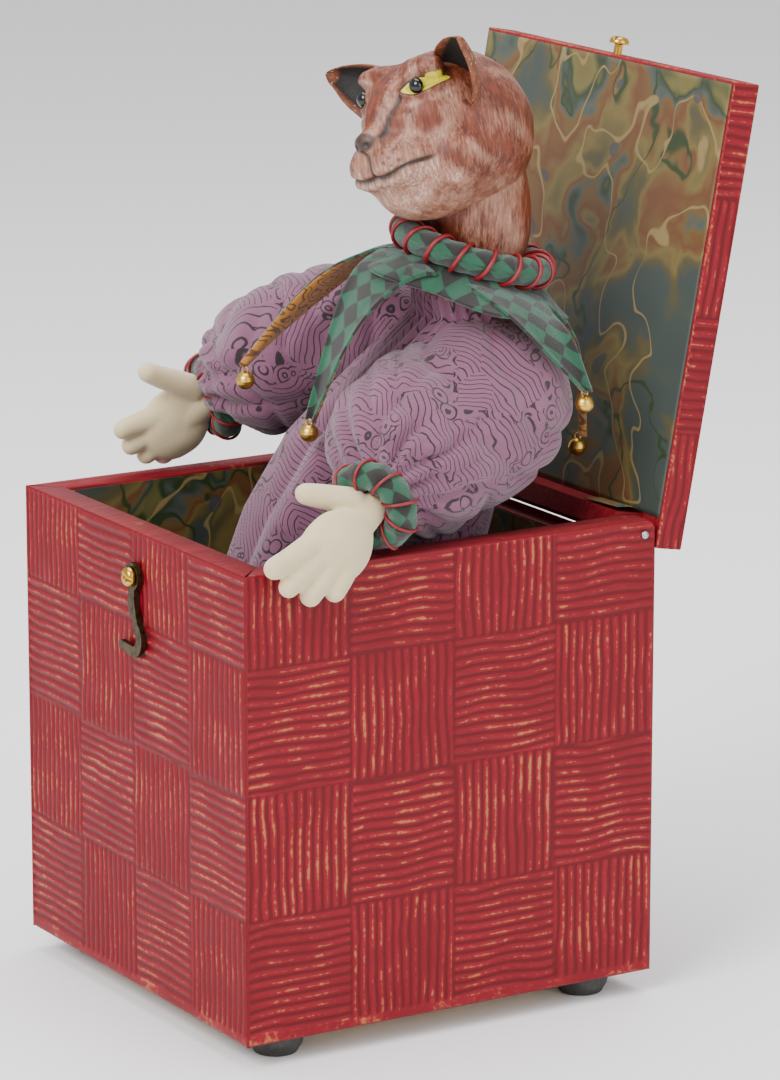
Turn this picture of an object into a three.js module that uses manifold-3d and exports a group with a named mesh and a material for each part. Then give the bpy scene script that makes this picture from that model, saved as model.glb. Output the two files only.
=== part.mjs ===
// A jack in the box: a wooden box on four rubber feet, a pin-hinged lid with a hook,
// and a cat puppet in a jester collar and smock that stands on a coil spring.
// Millimetres, +Z up. The origin is the centre of the box's underside. The face with
// the hook is the front (-Y), and the lid turns on two pins along the rear top edge.
import * as THREE from 'three';
import { mergeVertices } from 'three/addons/utils/BufferGeometryUtils.js';
import Module from 'manifold-3d';

const wasm = await Module();
wasm.setup();

// ---------------------------------------------------------------- driving dimensions
const BOX_WIDTH = 178; // along X, outside
const BOX_DEPTH = 184; // along Y, outside
const BODY_HEIGHT = 184; // the box without its lid
const STOCK = 12; // thickness of the walls, the bottom and the lid
const GLUE_LINE = 0.1; // half of the gap left at each glued joint
const RUN_CLEARANCE = 0.3; // between pieces that turn or slide past each other

const PAPER = 0.4; // marbled lining paper with its paste
const PAPER_MARGIN = 1.5; // the paper stops this far from an edge
const PAPER_GAP = 0.3; // left between a lining sheet and the wood or sheet beside it

const LID_OPEN_ANGLE = 100.6; // degrees from shut to the open rest
const LID_GAP = 0.5; // the shut lid's board stands this far above the rim
const PIN_RADIUS = 1.6;
const PIN_LENGTH = 22;
const PIN_PROUD = 0.8; // the pin's end stands out of the wall by this much
const PIN_SETBACK = 5.2; // pin centre in from the rear face
const PIN_DROP = 6; // pin centre below the rim
const WALL_CORNER_RADIUS = 5.3; // rear top corner of each side wall

const SCREW_SHANK_RADIUS = 1.8;
const SCREW_HEAD_RADIUS = 4;
const SCREW_HEAD_HEIGHT = 2.9;
const CATCH_NECK = 4; // from the lid's edge to the underside of the catch screw's head
const CATCH_X = -1.6; // catch screw, from the middle of the lid's front edge
const HOOK_X = 5; // hook pivot, from the middle of the front
const HOOK_REACH = 24.5; // hook pivot to the centre of its bowl
const HOOK_THICKNESS = 2.1;
const HOOK_STRIP = 4.4; // width of the strip that the hook is cut from
const HOOK_EYE_RADIUS = 5.5;
const HOOK_LIP = 11; // how far the lip runs past the bowl's centre

const FOOT_RADIUS = 11;
const FOOT_HEIGHT = 9.5;
const FOOT_INSET_X = 17; // foot centre from the side face
const FOOT_INSET_Y = 22; // foot centre from the front or rear face

const SPRING_BASE = [-5.7, -18.4]; // where the spring's leaning axis meets the underside, x and y
const LEAN_PER_RISE = [0.1456, 0.2621]; // how the released spring leans, x and y per mm of z
const SPRING_RADIUS = 24; // at the foot, to the middle of the wire
const SPRING_TOP_RADIUS = 17;
const WIRE_RADIUS = 1.5;
const SPRING_TURNS = 5;
const BLOCK_THICKNESS = 6; // plywood block under the spring and disc on top of it
const DISC_OVER_RIM = 59; // underside of the top disc, above the rim
const DISC_RADIUS = 20;
const BLOCK_RADIUS = 32; // half the width of the square block
const DOWEL_RADIUS = 8;
const DOWEL_LENGTH = 46;
const DOWEL_FORWARD = 8; // the dowel sits in front of the spring's axis

const HEAD_FROM_DISC = [5.3, -15.8, 86]; // middle of the head, from the disc's underside
const HEAD_YAW = 8; // degrees, the puppet looks a little towards +X
const HEAD_TILT = -16; // degrees, its left ear is the higher one
const NECK_RADIUS = 18.4;
const NECK_OVER_DISC = 22; // the neck starts above the smock's top edge
const EYE_RADIUS = 3.1;
const EYE_AT = [16.5, -24.5, 22]; // from the middle of the head, in its own axes
const EAR_POINTS = [[13, -11, 31], [30, -9, 12], [41, -20, 36]]; // inner root, outer root, tip
const EAR_CUP = 9;
const EAR_THICKNESS = 2.2;

const COLLAR_EASE = 1.2; // between the neck and the thread on the rolled collar
const ROLL_RADIUS = 5.5;
const COLLAR_FORWARD = 15.5; // the neck and roll sit this far in front of the spring's axis
const COLLAR_TOP_OVER_DISC = 47;
const THREAD_RADIUS = 0.8;
const THREAD_TURNS = 17;
const CLOTH = 1.2; // two layers of cotton

const CUFF_RADIUS = 12.4; // middle line of the cuff roll
const CUFF_ROLL_RADIUS = 5.8;
const BELL_RADIUS = 3.7;

// ---------------------------------------------------------------- sizes that follow
const HALF_W = BOX_WIDTH / 2;
const HALF_D = BOX_DEPTH / 2;
const INNER_W = HALF_W - STOCK; // inside face of the side walls
const INNER_D = HALF_D - STOCK; // inside face of the front and rear walls
const PIVOT_Y = HALF_D - PIN_SETBACK;
const PIVOT_Z = BODY_HEIGHT - PIN_DROP;
const LID_UNDER = BODY_HEIGHT + LID_GAP;
const RAIL_BOTTOM = PIVOT_Z - 6.4;
const RAIL_TOP = LID_UNDER - 2 * GLUE_LINE;
const CATCH_Z = LID_UNDER + STOCK / 2;
const HOOK_Z = CATCH_Z - Math.sqrt(HOOK_REACH ** 2 - (HOOK_X - CATCH_X) ** 2);
const DISC_HEIGHT = BODY_HEIGHT + DISC_OVER_RIM;
const THREAD_STANDS_OFF = 2 * THREAD_RADIUS + RUN_CLEARANCE;
const COLLAR_RADIUS = NECK_RADIUS + COLLAR_EASE + THREAD_STANDS_OFF + ROLL_RADIUS;
const COLLAR_OVER_DISC = COLLAR_TOP_OVER_DISC - ROLL_RADIUS; // both to the roll's middle
const FLOOR = STOCK + PAPER + PAPER_GAP;
const SPRING_FOOT = FLOOR + 0.3 + BLOCK_THICKNESS + RUN_CLEARANCE + WIRE_RADIUS;

const V = (x, y, z) => new THREE.Vector3(x, y, z);
const UP = V(0, 0, 1);
const rad = THREE.MathUtils.degToRad;
const LEAN_AXIS = V(LEAN_PER_RISE[0], LEAN_PER_RISE[1], 1).normalize();
const LEAN_TURN = new THREE.Quaternion().setFromUnitVectors(UP, LEAN_AXIS);

// The point of the leaning spring's axis at a height above the box's underside.
const leanPoint = (z) => V(
  SPRING_BASE[0] + LEAN_PER_RISE[0] * z,
  SPRING_BASE[1] + LEAN_PER_RISE[1] * z,
  z,
);

// ---------------------------------------------------------------- finishes
const finish = (color, roughness, metalness = 0) => ({ color, roughness, metalness });
const RED_COMBED = finish(0xa52d46, 0.55);
const MARBLED = finish(0x8a7a45, 0.7);
const BIRCH = finish(0xd8bd8c, 0.7);
const RUBBER = finish(0x26262a, 0.75);
const STEEL = finish(0xb9bcc0, 0.35, 1);
const BRASS = finish(0xc9a24a, 0.3, 1);
const OLD_BRASS = finish(0x6e6248, 0.45, 1);
const PAINTED_CAT = finish(0xb98a6c, 0.6);
const EAR_LEATHER = finish(0x8f5334, 0.65);
const EYE_BLACK = finish(0x151515, 0.1);
const CHECK_CLOTH = finish(0x2f5d4b, 0.85);
const RED_THREAD = finish(0xb3262f, 0.6);
const SMOCK_CLOTH = finish(0xb08099, 0.9);
const HAND_CLOTH = finish(0xe9dfc4, 0.9);

// ---------------------------------------------------------------- solids
const root = new THREE.Group();

function add(name, geometry, look, parent = root) {
  geometry.computeVertexNormals();
  const mesh = new THREE.Mesh(geometry, new THREE.MeshStandardMaterial(look));
  mesh.name = name;
  parent.add(mesh);
  return mesh;
}

function solidOf(geometry) {
  const bare = geometry.index ? geometry.toNonIndexed() : geometry.clone();
  for (const extra of ['normal', 'uv']) bare.deleteAttribute(extra);
  const merged = mergeVertices(bare, 1e-4);
  const mesh = new wasm.Mesh({
    numProp: 3,
    vertProperties: merged.attributes.position.array,
    triVerts: new Uint32Array(merged.index.array),
  });
  return new wasm.Manifold(mesh);
}

function geometryOf(solid) {
  const mesh = solid.getMesh();
  const geometry = new THREE.BufferGeometry();
  geometry.setAttribute('position', new THREE.BufferAttribute(mesh.vertProperties, 3));
  geometry.setIndex(new THREE.BufferAttribute(mesh.triVerts, 1));
  return geometry.toNonIndexed();
}

const cut = (body, ...tools) => geometryOf(
  tools.reduce((rest, tool) => rest.subtract(solidOf(tool)), solidOf(body)),
);
const join = (...parts) => geometryOf(
  parts.map(solidOf).reduce((whole, part) => whole.add(part)),
);

const box = (lo, hi) => new THREE.BoxGeometry(hi[0] - lo[0], hi[1] - lo[1], hi[2] - lo[2])
  .translate((lo[0] + hi[0]) / 2, (lo[1] + hi[1]) / 2, (lo[2] + hi[2]) / 2);

// A bar along Z from a plan outline.
function prismZ(points, z0, z1) {
  const outline = new THREE.Shape(points.map(([x, y]) => new THREE.Vector2(x, y)));
  return new THREE.ExtrudeGeometry(outline, { depth: z1 - z0, bevelEnabled: false })
    .translate(0, 0, z0);
}

// A bar along X from an outline drawn in Y and Z.
function prismX(outline, x0, x1, curveSegments = 5) {
  const options = { depth: x1 - x0, bevelEnabled: false, curveSegments };
  return new THREE.ExtrudeGeometry(outline, options)
    .applyMatrix4(new THREE.Matrix4().makeBasis(V(0, 1, 0), V(0, 0, 1), V(1, 0, 0)))
    .translate(x0, 0, 0);
}

// A straight round bar from one point to another.
function rod(from, to, radius, sides = 14) {
  const along = to.clone().sub(from);
  const turn = new THREE.Quaternion().setFromUnitVectors(V(0, 1, 0), along.clone().normalize());
  return new THREE.CylinderGeometry(radius, radius, along.length(), sides)
    .applyQuaternion(turn)
    .translate(...from.clone().add(to).multiplyScalar(0.5).toArray());
}

// A pan-head screw: the head's underside is at `seat`, and the shank runs along `inward`.
function screw(seat, inward, shankLength) {
  const profile = [
    [0, SCREW_HEAD_HEIGHT], [SCREW_HEAD_RADIUS * 0.6, SCREW_HEAD_HEIGHT * 0.9],
    [SCREW_HEAD_RADIUS * 0.92, SCREW_HEAD_HEIGHT * 0.5], [SCREW_HEAD_RADIUS, 0],
    [SCREW_SHANK_RADIUS, 0], [SCREW_SHANK_RADIUS, 2 - shankLength], [0, -shankLength],
  ].map(([r, y]) => new THREE.Vector2(r, y)).reverse();
  const turn = new THREE.Quaternion().setFromUnitVectors(V(0, -1, 0), inward);
  return new THREE.LatheGeometry(profile, 14).applyQuaternion(turn)
    .translate(...seat.toArray());
}

// A closed skin through rings of points. Open rows end in flat fans; a looped stack
// joins its last ring to its first, as a tube with an inside and an outside does.
function skin(rings, loop = false) {
  const across = rings[0].length;
  const points = rings.flat();
  const faces = [];
  const last = loop ? rings.length : rings.length - 1;
  for (let i = 0; i < last; i += 1) {
    const next = (i + 1) % rings.length;
    for (let k = 0; k < across; k += 1) {
      const a = i * across + k;
      const b = i * across + ((k + 1) % across);
      const c = next * across + ((k + 1) % across);
      const d = next * across + k;
      faces.push(a, b, c, a, c, d);
    }
  }
  const fan = (ring, offset, flip) => {
    const middle = ring.reduce((sum, p) => sum.add(p), V(0, 0, 0)).divideScalar(across);
    const hub = points.push(middle) - 1;
    for (let k = 0; k < across; k += 1) {
      const a = offset + k;
      const b = offset + ((k + 1) % across);
      faces.push(...(flip ? [hub, b, a] : [hub, a, b]));
    }
  };
  if (!loop) {
    fan(rings[0], 0, true);
    fan(rings[rings.length - 1], (rings.length - 1) * across, false);
  }
  const geometry = new THREE.BufferGeometry().setFromPoints(points);
  geometry.setIndex(faces);
  return facingOut(geometry.toNonIndexed());
}

// The same geometry with its faces turned round if it encloses a negative volume.
function facingOut(geometry) {
  const p = geometry.attributes.position;
  const at = (i) => new THREE.Vector3().fromBufferAttribute(p, i);
  let volume = 0;
  for (let i = 0; i < p.count; i += 3) {
    volume += at(i).dot(at(i + 1).cross(at(i + 2)));
  }
  if (volume >= 0) return geometry;
  for (let i = 0; i < p.count; i += 3) {
    const [b, c] = [at(i + 1), at(i + 2)];
    p.setXYZ(i + 1, c.x, c.y, c.z);
    p.setXYZ(i + 2, b.x, b.y, b.z);
  }
  return geometry;
}

// A ring of points of given half-widths about a centre, in the plane of axes a and b.
function ringAt(centre, a, b, ra, rb, count) {
  return Array.from({ length: count }, (_, k) => {
    const t = (2 * Math.PI * k) / count;
    return centre.clone()
      .addScaledVector(a, ra * Math.cos(t))
      .addScaledVector(b, rb * Math.sin(t));
  });
}

const ball = (centre, [rx, ry, rz], across = 20, down = 12) => (
  new THREE.SphereGeometry(1, across, down).rotateX(Math.PI / 2).scale(rx, ry, rz)
    .translate(...centre)
);

// A tapered round-ended finger between two points.
function finger(from, to, r0, r1, sides = 10) {
  const length = from.distanceTo(to);
  const profile = [
    [0, -r0], [r0 * 0.75, -r0 * 0.66], [r0, 0],
    [r1, length], [r1 * 0.75, length + r1 * 0.66], [0, length + r1],
  ].map(([r, y]) => new THREE.Vector2(r, y));
  const way = to.clone().sub(from).normalize();
  return new THREE.LatheGeometry(profile, sides)
    .applyQuaternion(new THREE.Quaternion().setFromUnitVectors(V(0, 1, 0), way))
    .translate(...from.toArray());
}

// ---------------------------------------------------------------- the box
function boxWalls() {
  const g = GLUE_LINE;
  const frontPlan = [
    [-HALF_W + g, -HALF_D], [HALF_W - g, -HALF_D],
    [INNER_W - g, -INNER_D], [-INNER_W + g, -INNER_D],
  ];
  const hookBore = rod(V(HOOK_X, -HALF_D - 1, HOOK_Z), V(HOOK_X, -HALF_D + 11, HOOK_Z),
    SCREW_SHANK_RADIUS + RUN_CLEARANCE);
  add('front_wall', cut(prismZ(frontPlan, 0, BODY_HEIGHT), hookBore), RED_COMBED);

  for (const [name, side] of [['left_wall', -1], ['right_wall', 1]]) {
    const r = WALL_CORNER_RADIUS;
    const outline = new THREE.Shape();
    outline.moveTo(-HALF_D, 0);
    outline.lineTo(HALF_D, 0);
    outline.lineTo(HALF_D, BODY_HEIGHT - r);
    outline.absarc(HALF_D - r, BODY_HEIGHT - r, r, 0, Math.PI / 2, false);
    outline.lineTo(-HALF_D, BODY_HEIGHT);
    const faces = [side * INNER_W, side * HALF_W].sort((a, b) => a - b);
    const board = prismX(outline, ...faces);
    const mitre = prismZ([
      [side * (HALF_W + 5), -HALF_D - 5 + g], [side * (INNER_W - 5), -INNER_D + 5 + g],
      [side * (INNER_W - 5), -HALF_D - 5],
    ], -1, BODY_HEIGHT + 1);
    const bore = rod(V(faces[0] - 1, PIVOT_Y, PIVOT_Z), V(faces[1] + 1, PIVOT_Y, PIVOT_Z),
      PIN_RADIUS + RUN_CLEARANCE);
    add(name, cut(board, facingOut(mitre), bore), RED_COMBED);
  }
  add('rear_wall', box(
    [-INNER_W + g, INNER_D, 0],
    [INNER_W - g, HALF_D, RAIL_BOTTOM - 2 * RUN_CLEARANCE],
  ), RED_COMBED);
}

const footSpots = [-1, 1].flatMap((sy) => [-1, 1].map((sx) => ({
  name: `${sy < 0 ? 'front' : 'rear'}_${sx < 0 ? 'left' : 'right'}`,
  x: sx * (HALF_W - FOOT_INSET_X),
  y: sy * (HALF_D - FOOT_INSET_Y),
})));

function bottomAndFeet() {
  const g = 2 * GLUE_LINE;
  const screwSeat = -FOOT_HEIGHT * 0.55;
  const screwLength = 11;
  const screwTop = screwSeat + screwLength;
  const bores = footSpots.map(({ x, y }) => rod(V(x, y, -1), V(x, y, screwTop + 1),
    SCREW_SHANK_RADIUS + RUN_CLEARANCE));
  const board = box([-INNER_W + g, -INNER_D + g, 0], [INNER_W - g, INNER_D - g, STOCK]);
  add('bottom_board', cut(board, ...bores), BIRCH);

  const hole = SCREW_SHANK_RADIUS + RUN_CLEARANCE;
  const recess = SCREW_HEAD_RADIUS + 0.6;
  const profile = [
    [hole, -0.1], [FOOT_RADIUS, -0.1], [FOOT_RADIUS, -FOOT_HEIGHT * 0.3],
    [FOOT_RADIUS * 0.9, -FOOT_HEIGHT * 0.7], [FOOT_RADIUS * 0.75, -FOOT_HEIGHT],
    [recess + 0.6, -FOOT_HEIGHT], [recess, -FOOT_HEIGHT * 0.95],
    [recess, screwSeat], [hole, screwSeat], [hole, -0.1],
  ].map(([r, z]) => new THREE.Vector2(r, z));
  for (const { name, x, y } of footSpots) {
    const foot = facingOut(new THREE.LatheGeometry(profile, 16).rotateX(Math.PI / 2)
      .toNonIndexed());
    add(`foot_${name}`, foot.translate(x, y, 0), RUBBER);
    add(`foot_screw_${name}`, screw(V(x, y, screwSeat - 0.2), UP, screwLength - 1), STEEL);
  }
}

function linings() {
  const gap = PAPER_GAP;
  const top = BODY_HEIGHT - PAPER_MARGIN;
  const w = INNER_W - gap;
  const d = INNER_D - gap;
  const low = STOCK + gap;
  add('lining_floor', box([-w, -d, low], [w, d, low + PAPER]), MARBLED);
  const foot = low + PAPER + gap;
  add('lining_front', box([-w, -d, foot], [w, -d + PAPER, top]), MARBLED);
  add('lining_rear', box([-w, d - PAPER, foot], [w, d, RAIL_BOTTOM - 1.5]), MARBLED);
  const inside = d - PAPER - gap;
  add('lining_left', box([-w, -inside, foot], [-w + PAPER, inside, top]), MARBLED);
  add('lining_right', box([w - PAPER, -inside, foot], [w, inside, top]), MARBLED);
}

function hingePins() {
  for (const [name, side] of [['hinge_pin_left', -1], ['hinge_pin_right', 1]]) {
    const outer = side * (HALF_W + PIN_PROUD);
    add(name, rod(V(outer, PIVOT_Y, PIVOT_Z), V(outer - side * PIN_LENGTH, PIVOT_Y, PIVOT_Z),
      PIN_RADIUS), STEEL);
  }
}

// ---------------------------------------------------------------- the lid
// Everything here is drawn shut, about the pins, and the group is then swung open.
function lid() {
  const group = new THREE.Group();
  group.position.set(0, PIVOT_Y, PIVOT_Z);
  group.rotation.x = -rad(LID_OPEN_ANGLE);
  root.add(group);
  const shut = (geometry) => geometry.translate(0, -PIVOT_Y, -PIVOT_Z);

  const catchSeat = V(CATCH_X, -HALF_D - CATCH_NECK, CATCH_Z);
  const catchBore = rod(V(CATCH_X, -HALF_D - 1, CATCH_Z), V(CATCH_X, -HALF_D + 13, CATCH_Z),
    SCREW_SHANK_RADIUS + RUN_CLEARANCE);
  const board = box([-HALF_W, -HALF_D, LID_UNDER], [HALF_W, HALF_D, LID_UNDER + STOCK]);
  add('lid_board', shut(cut(board, catchBore)), RED_COMBED, group);
  add('catch_screw', shut(screw(catchSeat, V(0, 1, 0), CATCH_NECK + 12)), BRASS, group);

  const railFront = INNER_D + 0.4;
  const railRear = PIVOT_Y + 3.6;
  const outline = new THREE.Shape([
    [railFront, RAIL_BOTTOM], [PIVOT_Y + 1.4, RAIL_BOTTOM], [railRear, PIVOT_Z - 3],
    [railRear, RAIL_TOP], [railFront, RAIL_TOP],
  ].map(([y, z]) => new THREE.Vector2(y, z)));
  const railEnd = INNER_W - PAPER_GAP - PAPER - RUN_CLEARANCE;
  const pinTip = HALF_W + PIN_PROUD - PIN_LENGTH - 0.5;
  const bores = [-1, 1].map((side) => rod(
    V(side * pinTip, PIVOT_Y, PIVOT_Z), V(side * (railEnd + 1), PIVOT_Y, PIVOT_Z),
    PIN_RADIUS + RUN_CLEARANCE,
  ));
  add('hinge_rail', shut(cut(prismX(outline, -railEnd, railEnd), ...bores)), RED_COMBED, group);

  const paperTop = LID_UNDER - (LID_GAP - PAPER) / 2;
  const w = HALF_W - PAPER_MARGIN;
  add('lid_lining', shut(box(
    [-w, -HALF_D + PAPER_MARGIN, paperTop - PAPER], [w, railFront - 0.6, paperTop],
  )), MARBLED, group);
}

// ---------------------------------------------------------------- hook
function hook() {
  const y0 = -HALF_D - 0.5;
  const strip = HOOK_STRIP / 2;
  const inner = SCREW_SHANK_RADIUS + 1.5; // the bowl clears the catch screw's neck
  const outer = inner + HOOK_STRIP;
  const bowl = -HOOK_REACH;
  const lipTop = bowl - inner;
  const lipTip = -HOOK_LIP;
  const outline = new THREE.Shape();
  const side = Math.asin(strip / HOOK_EYE_RADIUS);
  outline.absarc(0, 0, HOOK_EYE_RADIUS, -Math.PI / 2 + side, 1.5 * Math.PI - side, false);
  outline.lineTo(-strip - 0.9, bowl + 13.5);
  outline.quadraticCurveTo(-strip - 0.9, bowl + 10, 0.4, bowl + 7.6);
  outline.absarc(0, bowl, inner, Math.PI * 0.42, -Math.PI / 2, true);
  outline.lineTo(lipTip + strip, lipTop + 0.6);
  outline.quadraticCurveTo(lipTip - 1, lipTop + 0.6, lipTip + 0.6, lipTop - HOOK_STRIP + 1.6);
  outline.lineTo(0, bowl - outer);
  outline.absarc(0, bowl, outer, -Math.PI / 2, Math.PI * 0.3, false);
  outline.quadraticCurveTo(strip + 0.9, bowl + 10.5, strip, bowl + 14.5);
  outline.closePath();
  outline.holes.push(new THREE.Path().absarc(0, 0, SCREW_SHANK_RADIUS + RUN_CLEARANCE, 0,
    2 * Math.PI, true));
  const options = { depth: HOOK_THICKNESS, bevelEnabled: false, curveSegments: 9 };
  const plate = new THREE.ExtrudeGeometry(outline, options)
    .rotateX(Math.PI / 2)
    .translate(HOOK_X, y0, HOOK_Z);
  add('hook', plate, OLD_BRASS);
  const seat = V(HOOK_X, y0 - HOOK_THICKNESS - RUN_CLEARANCE, HOOK_Z);
  add('hook_screw', screw(seat, V(0, 1, 0), 13), BRASS);
}

// ---------------------------------------------------------------- spring and dowel
function coil(turns, perTurn, centreAt, radii, wire, sides) {
  const steps = turns * perTurn;
  const at = (i) => {
    const t = i / steps;
    const { centre, turn } = centreAt(t);
    const angle = (2 * Math.PI * i) / perTurn;
    const radius = THREE.MathUtils.lerp(radii[0], radii[1], t);
    return centre.clone().add(
      V(radius * Math.cos(angle), radius * Math.sin(angle), 0).applyQuaternion(turn),
    );
  };
  const rings = Array.from({ length: steps + 1 }, (_, i) => {
    const along = at(Math.min(i + 1, steps)).sub(at(Math.max(i - 1, 0))).normalize();
    const { centre, turn } = centreAt(i / steps);
    const out = at(i).sub(centre).applyQuaternion(turn.clone().invert()).setZ(0)
      .applyQuaternion(turn).normalize();
    const a = out.addScaledVector(along, -out.dot(along)).normalize();
    return ringAt(at(i), a, along.clone().cross(a), wire, wire, sides);
  });
  return skin(rings);
}

const DISC_CENTRE = leanPoint(DISC_HEIGHT);
const alongLean = (distance, side = 0, forward = 0) => (
  V(side, -forward, distance).applyQuaternion(LEAN_TURN).add(DISC_CENTRE)
);

function springAndDisc() {
  const { x, y } = leanPoint(FLOOR);
  const low = FLOOR + 0.3;
  add('spring_block', box([x - BLOCK_RADIUS, y - BLOCK_RADIUS, low],
    [x + BLOCK_RADIUS, y + BLOCK_RADIUS, low + BLOCK_THICKNESS]), BIRCH);

  // The wire starts level on the block and ends square to the leaning axis under the disc.
  const top = alongLean(-WIRE_RADIUS - 2 * RUN_CLEARANCE);
  const foot = leanPoint(SPRING_FOOT);
  const centreAt = (t) => ({
    centre: foot.clone().lerp(top, 0.12 * t + 0.88 * THREE.MathUtils.smoothstep(t, 0, 1)),
    turn: new THREE.Quaternion().slerp(LEAN_TURN, t),
  });
  const radii = [SPRING_RADIUS, SPRING_TOP_RADIUS];
  add('spring', coil(SPRING_TURNS, 16, centreAt, radii, WIRE_RADIUS, 6), STEEL);

  const screwBore = SCREW_SHANK_RADIUS + RUN_CLEARANCE;
  const disc = rod(alongLean(0), alongLean(BLOCK_THICKNESS), DISC_RADIUS, 24);
  const onDowel = (distance) => alongLean(distance, 0, DOWEL_FORWARD);
  const discBore = rod(onDowel(-1), onDowel(BLOCK_THICKNESS + 1), screwBore);
  add('top_disc', cut(disc, discBore), BIRCH);
  const dowelFoot = BLOCK_THICKNESS + RUN_CLEARANCE;
  const dowel = rod(onDowel(dowelFoot), onDowel(dowelFoot + DOWEL_LENGTH), DOWEL_RADIUS, 18);
  const dowelBore = rod(onDowel(dowelFoot - 1), onDowel(dowelFoot + 20), screwBore);
  add('neck_dowel', cut(dowel, dowelBore), BIRCH);
  add('neck_screw', screw(onDowel(-RUN_CLEARANCE), LEAN_AXIS, 22), STEEL);
}

// ---------------------------------------------------------------- head
const HEAD_CENTRE = DISC_CENTRE.clone().add(V(...HEAD_FROM_DISC));

const HEAD_TURN = new THREE.Euler(0, rad(HEAD_TILT), rad(HEAD_YAW), 'ZYX');

// Overlapping balls, in the head's own axes (it looks along -Y): middle, then half-widths.
const HEAD_BALLS = [
  { middle: [0, 4, 4], radii: [31, 31, 32], across: 28, down: 18 }, // skull
  { middle: [0, -9, 11], radii: [25, 25, 21], across: 22, down: 12 }, // brow and bridge
  { middle: [0, -24, -5], radii: [19, 19, 14], across: 20, down: 12 }, // muzzle
  { middle: [0, -12, -13], radii: [22, 21, 15], across: 20, down: 12 }, // jaw
];

function headSolid(grow) {
  const balls = HEAD_BALLS.map(({ middle, radii, across, down }) => (
    ball(middle, radii.map((r) => r + grow), across, down)
  ));
  const turned = new THREE.Matrix4().makeRotationFromEuler(HEAD_TURN)
    .setPosition(HEAD_CENTRE);
  return join(...balls).applyMatrix4(turned);
}

function head() {
  const group = new THREE.Group();
  group.position.copy(HEAD_CENTRE);
  group.rotation.copy(HEAD_TURN);
  root.add(group);
  group.updateMatrixWorld(true);

  const inNeck = (distance) => alongLean(distance, 0, COLLAR_FORWARD);
  const neckTop = HEAD_CENTRE.clone().add(V(0, 7, -8));
  const bend = COLLAR_OVER_DISC + ROLL_RADIUS + 4;
  const neck = rod(inNeck(NECK_OVER_DISC), inNeck(bend), NECK_RADIUS, 24);
  const throat = finger(inNeck(bend), neckTop, NECK_RADIUS, NECK_RADIUS + 1, 24);
  const throatFoot = rod(inNeck(NECK_OVER_DISC - 30), inNeck(NECK_OVER_DISC), NECK_RADIUS * 2, 12);
  const socketEnd = BLOCK_THICKNESS + DOWEL_LENGTH + 2;
  const socket = rod(alongLean(0, 0, DOWEL_FORWARD), alongLean(socketEnd, 0, DOWEL_FORWARD),
    DOWEL_RADIUS + RUN_CLEARANCE, 18);
  const eyes = [['eye_left', 1], ['eye_right', -1]].map(([name, side]) => (
    { name, centre: [side * EYE_AT[0], EYE_AT[1], EYE_AT[2]] }
  ));
  const eyeHoles = eyes.map(({ centre }) => (
    ball(centre, Array(3).fill(EYE_RADIUS + RUN_CLEARANCE), 12, 8)
      .applyMatrix4(group.matrixWorld)
  ));
  const whole = join(headSolid(0), neck, throat);
  add('head', cut(whole, throatFoot, socket, ...eyeHoles), PAINTED_CAT);
  for (const { name, centre } of eyes) {
    add(name, ball(centre, Array(3).fill(EYE_RADIUS), 12, 8), EYE_BLACK, group);
  }
  add('ear_left', ear(1, group), EAR_LEATHER);
  add('ear_right', ear(-1, group), EAR_LEATHER);
}

// A cupped leaf of leather that runs from a root line on the skull out to a point. Its
// root starts inside the skull and is cut back to a fine gap.
function ear(side, group) {
  const [inner, outer, tip] = EAR_POINTS.map((p) => V(side * p[0], p[1], p[2]));
  const middle = inner.clone().lerp(outer, 0.5);
  const rows = 6;
  const columns = 6;
  const face = (offset) => Array.from({ length: rows + 1 }, (_, i) => {
    const v = -0.35 + 1.35 * (i / rows);
    const width = Math.max(1 - v ** 2 * Math.sign(v), 0) ** 0.8;
    return Array.from({ length: columns + 1 }, (__, k) => {
      const u = (2 * k) / columns - 1;
      const p = middle.clone().lerp(tip, v);
      p.addScaledVector(outer.clone().sub(middle), u * Math.max(width, 0.05));
      return p.add(V(0, EAR_CUP * (1 - u * u) * width + offset, 0));
    });
  });
  const front = face(0);
  const back = face(EAR_THICKNESS);
  const leaf = skin(front.map((row, i) => [...row, ...back[i].slice().reverse()]))
    .applyMatrix4(group.matrixWorld);
  return cut(leaf, headSolid(RUN_CLEARANCE));
}

// ---------------------------------------------------------------- clothes
// The smock's level sections: height, offset from the leaning axis, half-widths.
const GOWN_SECTIONS = [
  [BODY_HEIGHT + 78, 0, -5, 25, 25],
  [BODY_HEIGHT + 56, -4, -9, 36, 38],
  [BODY_HEIGHT + 27, -11, -17, 42, 48],
  [BODY_HEIGHT, -12, -20, 46, 52],
  [BODY_HEIGHT - 16, -12, -20, 46, 53],
  [STOCK + 108, -9, -13, 54, 62],
  [STOCK + 60, -4, -6, 59, 66],
  [STOCK + 16, -1, 2, 61, 66],
];
const SMOCK_WALL = 1.6;

function gownSolid(grow, filled) {
  const ring = ([z, dx, dy, a, b], inset) => {
    const centre = leanPoint(z).add(V(dx, dy, 0));
    const w = Math.min(a, INNER_W - 2 - Math.abs(centre.x)) + grow - inset;
    const room = z > BODY_HEIGHT ? HALF_D : INNER_D - 2; // the walls only bound what is below the rim
    const d = Math.min(b, room - Math.abs(centre.y)) + grow - inset;
    return ringAt(centre, V(1, 0, 0), V(0, 1, 0), w, d, 32);
  };
  const outer = GOWN_SECTIONS.map((s) => ring(s, 0));
  if (filled) return skin(outer);
  const inner = GOWN_SECTIONS.map((s) => ring(s, SMOCK_WALL));
  return skin([...outer, ...inner.reverse()], true);
}

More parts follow.
